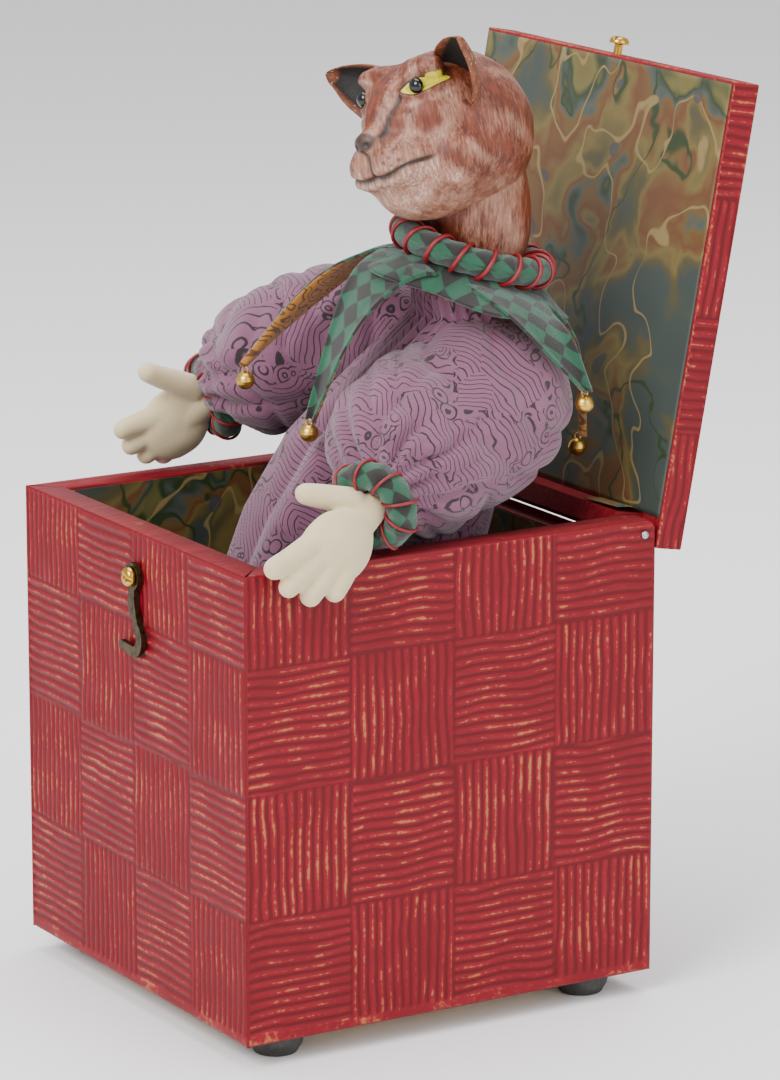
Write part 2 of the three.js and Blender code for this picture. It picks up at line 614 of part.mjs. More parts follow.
// Each arm: where the wrist lies (on the rim of its wall), the sleeve's middle line as
// offsets from the wrist or from the leaning axis, and the hand's reach from the wrist.
const ARMS = {
  left: {
    wrist: V(HALF_W - 5, -33, BODY_HEIGHT + 19.5),
    shoulder: leanPoint(BODY_HEIGHT + 62).add(V(10, -4, 0)),
    belly: [
      { at: leanPoint(BODY_HEIGHT + 44).add(V(20, -4, 0)), r: 37 },
      { at: leanPoint(BODY_HEIGHT + 31).add(V(25, -31, 0)), r: 38 },
    ],
    facing: V(0.45, -0.85, -0.3),
    fingers: [V(13, -54, -17), V(14, -48, -25), V(14, -38, -30), V(13, -26, -30)],
    thumb: V(-3, -31, 8),
  },
  right: {
    wrist: V(-HALF_W + 11, -11, BODY_HEIGHT + 29.7),
    shoulder: leanPoint(BODY_HEIGHT + 66).add(V(-30, 4, 0)),
    belly: [
      { at: V(-HALF_W + 52, 24, BODY_HEIGHT + 58), r: 32 },
      { at: V(-HALF_W + 35, 4, BODY_HEIGHT + 47), r: 32 },
    ],
    facing: V(-0.15, -0.9, -0.3),
    fingers: [V(-4, -43, -11), V(-6, -38, -19), V(-7, -30, -24), V(-7, -22, -25)],
    thumb: V(4, -36, 15),
  },
};

// Balls that fill a sleeve, from the shoulder to the wrist.
function sleeveBalls({ wrist, shoulder, belly }) {
  const stops = [
    { at: shoulder, r: 20 }, ...belly,
    { at: wrist.clone().lerp(belly[1].at, 0.3), r: 17 },
  ];
  const line = new THREE.CatmullRomCurve3(stops.map((s) => s.at));
  const steps = 9;
  return Array.from({ length: steps + 1 }, (_, i) => {
    const t = i / steps;
    const k = Math.min(Math.floor(t * 3), 2);
    const blend = THREE.MathUtils.smoothstep(t * 3 - k, 0, 1);
    return {
      at: line.getPoint(t),
      way: line.getTangent(t),
      r: THREE.MathUtils.lerp(stops[k].r, stops[k + 1].r, blend),
    };
  });
}

function sleeveSolid(arm) {
  const rings = sleeveBalls(arm).map(({ at, way, r }) => {
    const a = way.clone().cross(UP).normalize();
    return ringAt(at, a, a.clone().cross(way).normalize(), r, r, 18);
  });
  return skin(rings);
}

function hand(arm) {
  const { wrist, fingers, thumb } = arm;
  const at = (reach, share) => wrist.clone().addScaledVector(reach, share);
  const middle = fingers.reduce((sum, f) => sum.add(f), V(0, 0, 0)).divideScalar(4);
  const palm = ball([0, 0, 0], [8, 17, 15], 14, 8)
    .rotateX(Math.atan2(middle.z, -middle.y) * -1)
    .translate(...at(middle, 0.5).toArray());
  return join(
    palm,
    finger(at(middle, -0.06), at(middle, 0.45), 5.8, 8),
    ...fingers.map((f) => finger(at(f, 0.5), at(f, 0.93), 5.6, 4.2)),
    finger(at(thumb, 0.3), at(thumb, 0.9), 6, 4.2),
  );
}

function clothes() {
  add('gown', gownSolid(0, false), SMOCK_CLOTH);
  const body = gownSolid(0.4, true);
  const wall = box([INNER_W - RUN_CLEARANCE, -HALF_D, 0],
    [HALF_W + RUN_CLEARANCE, HALF_D, BODY_HEIGHT + RUN_CLEARANCE]);
  for (const [side, arm] of Object.entries(ARMS)) {
    const facing = arm.facing.clone().normalize();
    const turn = new THREE.Quaternion().setFromUnitVectors(UP, facing);
    const roll = (grow) => (
      new THREE.TorusGeometry(CUFF_RADIUS, CUFF_ROLL_RADIUS + grow, 8, 20)
        .applyQuaternion(turn).translate(...arm.wrist.toArray())
    );
    add(`cuff_${side}`, roll(0), CHECK_CLOTH);
    add(`sleeve_${side}`, cut(sleeveSolid(arm), body, roll(RUN_CLEARANCE)), SMOCK_CLOTH);
    add(`hand_${side}`, cut(hand(arm), roll(RUN_CLEARANCE), wall), HAND_CLOTH);
  }
}

// ---------------------------------------------------------------- jester collar
const COLLAR_CENTRE = alongLean(COLLAR_OVER_DISC, 0, COLLAR_FORWARD);

// Distance from a point to the clothed body, less than zero inside it.
function bodyDistance(p) {
  let nearest = Infinity;
  for (const arm of Object.values(ARMS)) {
    for (const { at, r } of sleeveBalls(arm)) nearest = Math.min(nearest, p.distanceTo(at) - r);
  }
  for (let i = 1; i < GOWN_SECTIONS.length; i += 1) {
    const [above, below] = [GOWN_SECTIONS[i - 1], GOWN_SECTIONS[i]];
    const t = THREE.MathUtils.clamp((above[0] - p.z) / (above[0] - below[0]), 0, 1);
    const s = above.map((value, k) => THREE.MathUtils.lerp(value, below[k], t));
    const centre = leanPoint(s[0]).add(V(s[1], s[2], 0));
    const [a, b] = [s[3] + 1, s[4] + 1];
    const out = Math.hypot((p.x - centre.x) / a, (p.y - centre.y) / b);
    const flat = (out - 1) * Math.min(a, b);
    const rise = p.z - s[0];
    nearest = Math.min(nearest, rise > 0 ? Math.hypot(Math.max(flat, 0), rise) : flat);
  }
  return nearest;
}

// Moves a point out of the clothed body until it is `clear` away from it.
function pushOut(p, clear) {
  const q = p.clone();
  for (let i = 0; i < 30; i += 1) {
    const d = bodyDistance(q);
    if (d >= clear) break;
    const e = 0.5;
    const slope = V(
      bodyDistance(V(q.x + e, q.y, q.z)) - bodyDistance(V(q.x - e, q.y, q.z)),
      bodyDistance(V(q.x, q.y + e, q.z)) - bodyDistance(V(q.x, q.y - e, q.z)),
      bodyDistance(V(q.x, q.y, q.z + e)) - bodyDistance(V(q.x, q.y, q.z - e)),
    ).normalize();
    q.addScaledVector(slope, Math.min(clear - d, 4));
  }
  return q;
}

// The flaps: direction of the root about the collar's axis, and where the tip hangs.
const FLAPS = [
  { name: 'front_right', root: -152, tip: V(-17, -31, BODY_HEIGHT + 54) },
  { name: 'front_left', root: -92, tip: V(30, -27, BODY_HEIGHT + 41) },
  { name: 'left', root: 2, tip: V(HALF_W - 9, HALF_D - 28, BODY_HEIGHT + 52) },
  { name: 'rear_left', root: 62, tip: V(45, HALF_D - 8, BODY_HEIGHT + 26) },
  { name: 'rear_right', root: 122, tip: V(-12, HALF_D - 8, BODY_HEIGHT + 46) },
];

function flapSurface({ root: degrees, tip }) {
  const rows = 7;
  const columns = 4;
  const ringPoint = (angle, radius, drop) => V(
    radius * Math.cos(rad(angle)), radius * Math.sin(rad(angle)), -drop,
  ).applyQuaternion(LEAN_TURN).add(COLLAR_CENTRE);
  const rootDrop = ROLL_RADIUS + 2.2;
  const middle = ringPoint(degrees, COLLAR_RADIUS - 2, rootDrop);
  const out = ringPoint(degrees, COLLAR_RADIUS + 20, rootDrop + 2);
  const line = new THREE.QuadraticBezierCurve3(middle, out, tip);
  const sideways = ringPoint(degrees + 30, COLLAR_RADIUS, 0)
    .sub(ringPoint(degrees - 30, COLLAR_RADIUS, 0)).normalize();
  const grid = (clear) => Array.from({ length: rows + 1 }, (_, i) => {
    const v = i / rows;
    const half = 12.4 * (1 - v ** 1.8) + 1;
    return Array.from({ length: columns + 1 }, (__, k) => {
      const u = (2 * k) / columns - 1;
      const p = line.getPoint(v).addScaledVector(sideways, half * u);
      p.addScaledVector(UP, -0.12 * half * u * u);
      return pushOut(p, clear);
    });
  });
  const under = grid(1.4);
  const over = under.map((row, i) => row.map((p, k) => {
    const a = under[Math.min(i + 1, rows)][k].clone().sub(under[Math.max(i - 1, 0)][k]);
    const b = row[Math.min(k + 1, columns)].clone().sub(row[Math.max(k - 1, 0)]);
    return p.clone().addScaledVector(b.cross(a).normalize(), CLOTH);
  }));
  return { under, over, tipPoint: under[rows][columns / 2] };
}

function collar() {
  const roll = new THREE.TorusGeometry(COLLAR_RADIUS, ROLL_RADIUS, 8, 28)
    .applyQuaternion(LEAN_TURN).translate(...COLLAR_CENTRE.toArray());
  add('collar_roll', roll, CHECK_CLOTH);

  // Thread wound round the roll, standing off it by a fine gap.
  const perTurn = 8;
  const steps = THREAD_TURNS * perTurn;
  const wind = ROLL_RADIUS + THREAD_RADIUS + RUN_CLEARANCE;
  const spine = (i) => {
    const around = (2 * Math.PI * i) / steps;
    const across = (2 * Math.PI * i) / perTurn;
    const reach = COLLAR_RADIUS + wind * Math.cos(across);
    return V(reach * Math.cos(around), reach * Math.sin(around), wind * Math.sin(across))
      .applyQuaternion(LEAN_TURN).add(COLLAR_CENTRE);
  };
  const rings = Array.from({ length: steps }, (_, i) => {
    const along = spine(i + 1).sub(spine(i - 1)).normalize();
    const around = (2 * Math.PI * i) / steps;
    const hub = V(COLLAR_RADIUS * Math.cos(around), COLLAR_RADIUS * Math.sin(around), 0)
      .applyQuaternion(LEAN_TURN).add(COLLAR_CENTRE);
    const out = spine(i).sub(hub);
    const a = out.addScaledVector(along, -out.dot(along)).normalize();
    return ringAt(spine(i), a, along.clone().cross(a), THREAD_RADIUS, THREAD_RADIUS, 4);
  });
  add('collar_thread', skin(rings, true), RED_THREAD);

  for (const flap of FLAPS) {
    const { under, over, tipPoint } = flapSurface(flap);
    const rows = under.map((row, i) => [...row, ...over[i].slice().reverse()]);
    add(`collar_flap_${flap.name}`, skin(rows), CHECK_CLOTH);
    const centre = pushOut(tipPoint.clone().add(V(0, 0, -BELL_RADIUS - 1.2)), BELL_RADIUS + 0.6);
    const slot = box([-BELL_RADIUS, -0.5, -BELL_RADIUS - 1], [BELL_RADIUS, 0.5, -0.6]);
    const bell = cut(ball([0, 0, 0], Array(3).fill(BELL_RADIUS), 12, 8), slot);
    add(`bell_${flap.name}`, bell.translate(...centre.toArray()), BRASS);
  }
}

boxWalls();
bottomAndFeet();
linings();
hingePins();
lid();
hook();
springAndDisc();
head();
clothes();
collar();

export default root;
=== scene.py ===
"""A jack in the box: combed red wooden box, marbled lining, and a cat puppet in a smock.

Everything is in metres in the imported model's frame. Sizes below are written in
millimetres and turned to metres by MM.
"""
import math

import bmesh
import bpy
import numpy as np
from mathutils import Matrix, Vector


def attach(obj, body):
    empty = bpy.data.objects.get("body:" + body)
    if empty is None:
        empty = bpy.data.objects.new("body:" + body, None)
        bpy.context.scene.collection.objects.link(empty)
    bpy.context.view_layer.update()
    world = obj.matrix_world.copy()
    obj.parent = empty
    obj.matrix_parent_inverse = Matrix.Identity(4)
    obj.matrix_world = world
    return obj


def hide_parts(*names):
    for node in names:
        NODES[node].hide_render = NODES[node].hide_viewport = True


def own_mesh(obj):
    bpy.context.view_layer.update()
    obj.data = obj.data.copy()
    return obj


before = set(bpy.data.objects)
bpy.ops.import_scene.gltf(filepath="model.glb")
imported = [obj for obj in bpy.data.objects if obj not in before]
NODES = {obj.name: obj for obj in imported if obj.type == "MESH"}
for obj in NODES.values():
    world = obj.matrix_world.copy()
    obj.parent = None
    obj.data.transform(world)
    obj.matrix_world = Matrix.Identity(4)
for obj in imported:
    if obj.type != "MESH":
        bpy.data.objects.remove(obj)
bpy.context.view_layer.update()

MM = 0.001

# ------------------------------------------------------------------ sizes, in mm
BOX_W, BOX_D, BODY_H, STOCK = 178.0, 184.0, 184.0, 12.0
HALF_W, HALF_D = BOX_W / 2, BOX_D / 2
IN_W, IN_D = HALF_W - STOCK, HALF_D - STOCK  # half the inside
LID_ANGLE = 100.6  # degrees from shut to the open rest
PIVOT = np.array([0.0, 86.8, 178.0])  # the hinge pins' line, along X
LID_UNDER = BODY_H + 0.5
LEAN = np.array([0.1456, 0.2621, 1.0])  # the puppet's axis, per mm of height
LEAN_FOOT = np.array([-5.7, -18.4, 0.0])
DISC_Z = 243.0  # underside of the spring's top disc
COLLAR_R, COLLAR_FORWARD, COLLAR_OVER = 27.0, 15.5, 41.5
ROLL_R, CUFF_R, CUFF_ROLL_R = 5.5, 12.4, 5.8
EYE = np.array([16.5, -23.6, 22.0])  # in the head's axes, on its left
WELD = 0.01  # points this near are one point
SMOCK_TOP, SMOCK_SHOULDER, SMOCK_FOOT = 277, 262, 28  # heights


def unit(v):
    """v / |v|, along the last axis."""
    v = np.asarray(v, float)
    return v / np.linalg.norm(v, axis=-1, keepdims=True)


AXIS = unit(LEAN)


def lean_at(z):
    """The leaning axis at height z: foot + z * lean."""
    return LEAN_FOOT + LEAN * z


def turn_z_to(axis):
    """Rotation matrix that takes +Z to axis by the shortest way (Rodrigues)."""
    a = unit(axis)
    v = np.cross([0, 0, 1], a)
    k = np.array([[0, -v[2], v[1]], [v[2], 0, -v[0]], [-v[1], v[0], 0]])
    return np.eye(3) + k + k @ k / (1 + a[2])


LEAN_TURN = turn_z_to(AXIS)
DISC = lean_at(DISC_Z)
HEAD_AT = DISC + np.array([5.3, -15.8, 86.0])


def rot(axis, degrees):
    """Rotation matrix about a coordinate axis, 0 X, 1 Y or 2 Z."""
    t = math.radians(degrees)
    c, s = math.cos(t), math.sin(t)
    i, j = [(1, 2), (2, 0), (0, 1)][axis]
    m = np.eye(3)
    m[i, i] = m[j, j] = c
    m[i, j], m[j, i] = -s, s
    return m


HEAD_TURN = rot(2, 8) @ rot(1, -16)


def smooth(x, lo, hi):
    """Smoothstep of x between lo and hi."""
    t = np.clip((np.asarray(x, float) - lo) / (hi - lo), 0, 1)
    return t * t * (3 - 2 * t)


# ------------------------------------------------------------------ value noise
class Noise:
    """Smooth random field: a sum of cosine waves in random directions.

    n(p) = mean_i cos(k_i . p + phase_i), |k_i| near 2 pi / size.
    """

    def __init__(self, size, seed, waves=14):
        r = np.random.default_rng(seed)
        d = unit(r.normal(size=(waves, 3)))
        self.k = d * (2 * np.pi / size) * r.uniform(0.6, 1.5, (waves, 1))
        self.p = r.uniform(0, 2 * np.pi, waves)

    def __call__(self, p):
        return np.cos(np.asarray(p) @ self.k.T + self.p).mean(-1) * 1.9


# ------------------------------------------------------------------ mesh making
def mesh_object(name, verts, quads, mats, body, smooth_shade=True, index=None):
    """An object from points in mm and faces, riding on a body."""
    me = bpy.data.meshes.new(name)
    me.from_pydata((np.asarray(verts) * MM).tolist(), [], [list(q) for q in quads])
    me.update()
    o = bpy.data.objects.new(name, me)
    bpy.context.scene.collection.objects.link(o)
    for m in mats if isinstance(mats, (list, tuple)) else [mats]:
        me.materials.append(m)
    if index is not None:
        me.polygons.foreach_set("material_index", np.asarray(index, np.int32))
    me.polygons.foreach_set("use_smooth", np.full(len(me.polygons), smooth_shade))
    if body:
        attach(o, body)
    return o


def grid_faces(n, m, close_u=False, close_v=False, start=0):
    """Quads of an n by m grid of points, row by row."""
    i = np.arange(n if close_u else n - 1)
    j = np.arange(m if close_v else m - 1)
    I, J = np.meshgrid(i, j, indexing="ij")
    a = I * m + J
    b = I * m + (J + 1) % m
    c = ((I + 1) % n) * m + (J + 1) % m
    d = ((I + 1) % n) * m + J
    return np.stack([a, b, c, d], -1).reshape(-1, 4) + start


def border(n, m):
    """Point indices round the edge of an n by m grid, in order."""
    i = np.arange(n * m).reshape(n, m)
    return np.concatenate([i[:-1, 0], i[-1, :-1], i[1:, -1][::-1], i[0, 1:][::-1]])


def band(a, b):
    """Quads between two closed loops of point indices."""
    return np.stack([a, np.roll(a, -1), np.roll(b, -1), b], -1).tolist()


def tube(points, frames, radii, around, closed=False):
    """Rings of points round a path. radii is (len(points), around), frames (n, 2, 3)."""
    t = np.linspace(0, 2 * np.pi, around, endpoint=False)
    ring = (np.cos(t)[None, :, None] * frames[:, None, 0, :]
            + np.sin(t)[None, :, None] * frames[:, None, 1, :])
    v = points[:, None, :] + ring * np.asarray(radii)[..., None]
    n = len(points)
    faces = [list(f) for f in grid_faces(n, around, closed, True)]
    v = v.reshape(-1, 3)
    if not closed:
        faces.append(list(range(around))[::-1])
        faces.append(list(range((n - 1) * around, n * around)))
    return v, faces


def path_frames(points, closed=False, up=(0, 0, 1)):
    """Two unit vectors square to the path at each point, carried without twist."""
    p = np.asarray(points)
    if closed:
        tan = unit(np.roll(p, -1, 0) - np.roll(p, 1, 0))
    else:
        tan = unit(np.gradient(p, axis=0))
    a = np.cross(tan[0], up)
    if np.linalg.norm(a) < 1e-3:
        a = np.cross(tan[0], (1, 0, 0))
    out = []
    for t in tan:
        a = unit(a - t * np.dot(a, t))
        out.append([a, np.cross(t, a)])
    return np.array(out)


def lathe(profile, around=48):
    """Surface of revolution about +Z from (radius, height) pairs; ends on the axis."""
    pr = np.asarray(profile, float)
    t = np.linspace(0, 2 * np.pi, around, endpoint=False)
    v = np.stack([pr[:, None, 0] * np.cos(t), pr[:, None, 0] * np.sin(t),
                  np.repeat(pr[:, 1:2], around, 1)], -1).reshape(-1, 3)
    faces = [list(f) for f in grid_faces(len(pr), around, False, True)]
    return v, faces


def clean(o, merge=0.0):
    """Merges points nearer than merge mm, then turns all faces outward."""
    bm = bmesh.new()
    bm.from_mesh(o.data)
    if merge:
        bmesh.ops.remove_doubles(bm, verts=bm.verts, dist=merge * MM)
    bmesh.ops.recalc_face_normals(bm, faces=bm.faces)
    bm.to_mesh(o.data)
    bm.free()
    o.data.update()
    return o


def attribute(o, name, values):
    """A float attribute on the points, or a vector one for (n, 3) values."""
    values = np.asarray(values, np.float32)
    if values.ndim == 1:
        o.data.attributes.new(name, "FLOAT", "POINT").data.foreach_set("value", values)
    else:
        a = o.data.attributes.new(name, "FLOAT_VECTOR", "POINT")
        a.data.foreach_set("vector", values.ravel())


def points_of(o):
    """The object's points in mm, as an array."""
    co = np.empty(len(o.data.vertices) * 3, np.float32)
    o.data.vertices.foreach_get("co", co)
    return co.reshape(-1, 3).astype(float) / MM


def catmull(points, n):
    """n points on a Catmull-Rom spline through the given ones."""
    p = np.asarray(points, float)
    p = np.vstack([2 * p[0] - p[1], p, 2 * p[-1] - p[-2]])
    t = np.linspace(0, len(p) - 3 - 1e-9, n)
    i = t.astype(int)
    f = (t - i)[:, None]
    a, b, c, d = p[i], p[i + 1], p[i + 2], p[i + 3]
    return 0.5 * (2 * b + (c - a) * f + (2 * a - 5 * b + 4 * c - d) * f ** 2
                  + (3 * b - a - 3 * c + d) * f ** 3)


# ------------------------------------------------------------------ materials
def srgb(code):
    """sRGB hex to linear RGBA."""
    c = [int(code[i:i + 2], 16) / 255 for i in (0, 2, 4)]
    return [x / 12.92 if x <= 0.04045 else ((x + 0.055) / 1.055) ** 2.4 for x in c] + [1.0]


class Material:
    """A small wrapper that adds and links nodes."""

    def __init__(self, name, roughness=0.5, metallic=0.0, ior=1.5, **inputs):
        self.mat = bpy.data.materials.new(name)
        self.mat.use_nodes = True
        self.t = self.mat.node_tree
        self.bsdf = self.t.nodes["Principled BSDF"]
        self.set("Roughness", roughness)
        self.set("Metallic", metallic)
        if not metallic:
            self.set("IOR", ior)
        for k, v in inputs.items():
            self.set(k.replace("_", " "), v)

    def set(self, name, value):
        self.put(self.bsdf.inputs[name], value)

    def put(self, socket, value):
        if isinstance(value, bpy.types.NodeSocket):
            self.t.links.new(value, socket)
        elif value is not None:
            socket.default_value = value

    def add(self, kind, out=0, props=None, **inputs):
        n = self.t.nodes.new(kind)
        for k, v in (props or {}).items():
            setattr(n, k, v)
        for k, v in inputs.items():
            key = int(k[1:]) if k[0] == "i" and k[1:].isdigit() else k.replace("_", " ")
            self.put(n.inputs[key], v)
        return n.outputs[out]

    def math(self, op, a, b=0.5):
        return self.add("ShaderNodeMath", props={"operation": op}, i0=a, i1=b)

    def off(self, value, middle=0.5):
        """How far the value is from middle, either way."""
        return self.math("ABSOLUTE", self.math("SUBTRACT", value, middle))

    def swing(self, value, share):
        """share * (value - 0.5)."""
        return self.math("MULTIPLY", self.math("SUBTRACT", value, 0.5), share)

    def vec(self, op, a, b=None, out=0, **more):
        return self.add("ShaderNodeVectorMath", out, {"operation": op}, i0=a, i1=b, **more)

    def coords(self):
        return self.add("ShaderNodeTexCoord", 3)

    def attr(self, name, out=2):
        return self.add("ShaderNodeAttribute", out, {"attribute_name": name})

    def noise(self, vector, size_mm, detail=2.0, rough=0.5, out=0):
        return self.add("ShaderNodeTexNoise", out, Vector=vector, Scale=1 / (size_mm * MM),
                        Detail=detail, Roughness=rough)

    def stretch(self, vector, x, y, z):
        return self.vec("MULTIPLY", vector, (x, y, z))

    def warp(self, vector, size_mm, detail, rough, reach):
        """The vector, moved by (a colour noise - 0.5) * reach mm."""
        n = self.noise(vector, size_mm, detail, rough, out=1)
        n = self.vec("SUBTRACT", n, (0.5, 0.5, 0.5))
        return self.vec("ADD", vector, self.stretch(n, *(r * MM for r in reach)))

    def ramp(self, fac, stops):
        n = self.t.nodes.new("ShaderNodeValToRGB")
        e = n.color_ramp.elements
        while len(e) < len(stops):
            e.new(0.5)
        for k, (pos, col) in enumerate(stops):
            e[k].position = pos
            e[k].color = srgb(col)
        self.put(n.inputs[0], fac)
        return n.outputs[0]

    def step(self, value, lo, hi):
        props = {"interpolation_type": "SMOOTHSTEP"}
        return self.add("ShaderNodeMapRange", props=props, i0=value, i1=lo, i2=hi)

    def mix(self, fac, a, b):
        n = self.t.nodes.new("ShaderNodeMix")
        n.data_type = "RGBA"
        a = srgb(a) if isinstance(a, str) else a
        b = srgb(b) if isinstance(b, str) else b
        self.put(n.inputs[0], fac)
        self.put(n.inputs[6], a)
        self.put(n.inputs[7], b)
        return n.outputs[2]

    def colour(self, value):
        self.set("Base Color", srgb(value) if isinstance(value, str) else value)

    def rough(self, value, lo, hi):
        """Roughness from lo to hi as the value goes from 0 to 1."""
        self.set("Roughness", self.add("ShaderNodeMapRange", i0=value, i3=lo, i4=hi))

    def bump(self, height, depth_mm, strength):
        self.set("Normal", self.add("ShaderNodeBump", Height=height, Distance=depth_mm * MM,
                                    Strength=strength))


def paint_combed(comb=True):
    """Milk paint on basswood, dragged with a comb while wet and rubbed back when dry.

    Satin; the grooves keep the dark red, darker still at their bottoms as painted shade, and the
    ridge tops are worn to tan and pink.
    ridge is the height of the comb ridge, 0 to 1, and edge is 1 on sawn edges.
    """
    m = Material("milk_paint_combed_basswood" if comb else "milk_paint_basswood", ior=1.47)
    p = m.coords()
    ridge, edge = (m.attr("ridge"), m.attr("edge")) if comb else (0.5, 0.8)
    blotch = m.noise(p, 24, 3, 0.6)
    fine = m.noise(p, 2.2, 3, 0.6)
    worn = m.math("ADD", m.math("ADD", ridge, m.swing(fine, 1.0)), m.swing(blotch, 0.9))
    red = m.mix(m.step(blotch, 0.3, 0.7), "6e0213", "7c0319")
    # Painted shade: the red darkens toward 5a010c where the face lies low, in the groove bottoms
    # and on the rounded arrises.
    red = m.mix(m.step(ridge, 0.0, 0.35), "5a010c", red)
    rubbed = m.mix(m.math("MULTIPLY", m.step(worn, 0.62, 0.9), 0.7), red, "8c2426")
    rubbed = m.mix(m.math("MULTIPLY", m.step(worn, 0.76, 0.96), 0.8), rubbed, "a06437")
    grain = m.noise(m.stretch(p, 1.0, 0.06, 1.0), 1.4, 3, 0.6)
    sawn = m.mix(m.step(grain, 0.35, 0.7), "6c0815", "842026")
    sawn = m.mix(m.step(m.noise(p, 9, 3, 0.7), 0.62, 0.75), sawn, "86503c")
    m.colour(m.mix(edge, rubbed, sawn))
    m.set("Specular IOR Level", 0.25)
    m.rough(fine, 0.42, 0.62)
    m.bump(m.math("ADD", fine, m.math("MULTIPLY", grain, edge)), 0.18, 0.6)
    return m.mat


def marbled_paper():
    """Marbled paper with a soft sheen: floated inks, drawn out lengthwise."""
    m = Material("marbled_paper", 0.55, ior=1.45)
    p = m.coords()
    bent = m.warp(p, 60, 2, 0.5, (75, 75, 30))
    bent2 = m.warp(bent, 22, 2, 0.55, (30, 30, 15))
    field = m.noise(m.stretch(bent2, 1.0, 1.0, 0.42), 34, 0.6, 0.4)
    inks = m.ramp(field, [(0.0, "35433c"), (0.36, "4a5a55"), (0.405, "6b6138"), (0.45, "958144"),
                          (0.49, "86502b"), (0.53, "8a6a33"), (0.565, "5c6b62"),
                          (0.61, "33492a"), (0.66, "8f8646"), (1.0, "74401f")])
    vein = m.off(m.noise(m.stretch(bent2, 1, 1, 0.5), 48, 1.0))
    c = m.mix(m.step(vein, 0.012, 0.003), inks, "2f4a1d")
    vein2 = m.off(m.noise(m.stretch(bent, 1, 1, 0.6), 30, 1.0), 0.47)
    c = m.mix(m.step(vein2, 0.010, 0.003), c, "b79c62")
    drops = m.add("ShaderNodeTexVoronoi", Vector=bent, Scale=1 / (26 * MM))
    c = m.mix(m.math("MULTIPLY", m.step(drops, 0.17, 0.15), 0.75), c, "4a5560")
    tooth = m.noise(p, 0.7, 3, 0.6)
    c = m.mix(m.math("MULTIPLY", tooth, 0.22), c, "2e2b1e")
    m.colour(m.mix(0.55, c, "160f06"))
    m.bump(tooth, 0.05, 0.5)
    return m.mat


def birch():
    """Sanded birch: pale, matt, fine grain along X."""
    m = Material("birch_plywood", 0.62, ior=1.5)
    p = m.coords()
    g = m.noise(m.stretch(p, 0.08, 1, 1), 1.6, 4, 0.6)
    m.colour(m.mix(g, "c9a878", "e2c99c"))
    m.bump(g, 0.08, 0.4)
    return m.mat


def steel(name, code="b9bcc0", rough=0.3):
    """Bright zinc-plated or drawn steel: mirror-like with fine drawn lines."""
    m = Material(name, rough, 1.0)
    n = m.noise(m.coords(), 1.2, 4, 0.7)
    m.colour(m.mix(n, code, "8c8f94"))
    m.rough(n, rough - 0.08, rough + 0.12)
    m.bump(n, 0.01, 0.3)
    return m.mat


def rubber():
    """Moulded black rubber: dull, with dust and a fine mould texture."""
    m = Material("moulded_black_rubber", 0.62, ior=1.52)
    n = m.noise(m.coords(), 5, 4, 0.7)
    m.colour(m.mix(m.step(n, 0.45, 0.75), "262624", "3f3e3a"))
    m.bump(m.noise(m.coords(), 0.6, 2), 0.03, 0.5)
    return m.mat


def brass(name, bright, dark, rough, tarnish):
    """Turned brass, with tarnish gathering in patches."""
    m = Material(name, rough, 1.0)
    n = m.noise(m.coords(), 2.6, 4, 0.65)
    m.colour(m.mix(m.step(n, 0.5 - tarnish, 0.9 - tarnish), bright, dark))
    m.rough(n, rough - 0.05, rough + 0.2)
    m.bump(n, 0.02, 0.35)
    return m.mat


def cat_paint():
    """Acrylic on a cast head: rust brown, dry-brushed with white along the fur.

    white, pale, dark and iris are painted masks, 0 to 1; the hairs run along Z of furpos.
    """
    m = Material("acrylic_painted_cast_resin", 0.48, ior=1.49)
    p = m.attr("furpos", 1)
    white, dark, iris = m.attr("white"), m.attr("dark"), m.attr("iris")
    hair = m.noise(m.stretch(p, 1.0, 1.0, 0.16), 0.9, 3, 0.7)
    hair2 = m.noise(m.stretch(p, 1.0, 1.0, 0.22), 2.4, 3, 0.6)
    brown = m.mix(m.step(hair2, 0.3, 0.7), "4d1a08", "702f13")
    brown = m.mix(m.math("MULTIPLY", m.step(hair, 0.5, 0.75), 0.3), brown, "8a5234")
    cover = m.math("ADD", m.math("MULTIPLY", white, 1.15), m.swing(hair, 1.7))
    cover = m.math("ADD", cover, m.swing(hair2, 0.7))
    c = m.mix(m.math("MULTIPLY", m.step(cover, 0.3, 1.1), 0.8), brown, "9a6f5b")
    c = m.mix(m.math("MULTIPLY", m.step(cover, 1.0, 1.5), 0.75), c, "c4aca0")
    c = m.mix(m.attr("pale"), c, m.mix(m.step(hair2, 0.35, 0.7), "86604c", "a88470"))
    c = m.mix(m.math("MULTIPLY", dark, 0.95), c, "1c120e")
    c = m.mix(m.step(iris, 0.45, 0.55), c, m.mix(m.noise(p, 1.5, 2), "b39f10", "cfc01e"))
    m.colour(c)
    m.rough(iris, 0.5, 0.2)
    m.bump(m.math("ADD", hair, hair2), 0.28, 0.7)
    return m.mat


def ear_leather():
    """Vegetable-tanned leather, brown outside and along the cut edge, black suede inside."""
    m = Material("tanned_leather", 0.6, ior=1.5)
    p = m.coords()
    grain = m.add("ShaderNodeTexVoronoi", Vector=p, Scale=1 / (0.9 * MM))
    n = m.noise(p, 3, 4, 0.6)
    c = m.mix(m.step(n, 0.3, 0.7), "5c2a12", "7d4526")
    c = m.mix(m.step(m.noise(p, 1.2, 2), 0.6, 0.75), c, "c09a82")
    c = m.mix(m.attr("inside"), c, m.mix(n, "0c0a09", "1c1917"))
    m.colour(c)
    m.bump(m.math("ADD", grain, n), 0.12, 0.6)
    return m.mat


def gloss_black():
    """Black glass dome: sharp highlights."""
    m = Material("black_glass", 0.12, ior=1.52)
    m.colour(m.mix(m.noise(m.coords(), 3, 2), "010101", "040404"))
    return m.mat


CHECK_SIDE = 7.5  # one printed square


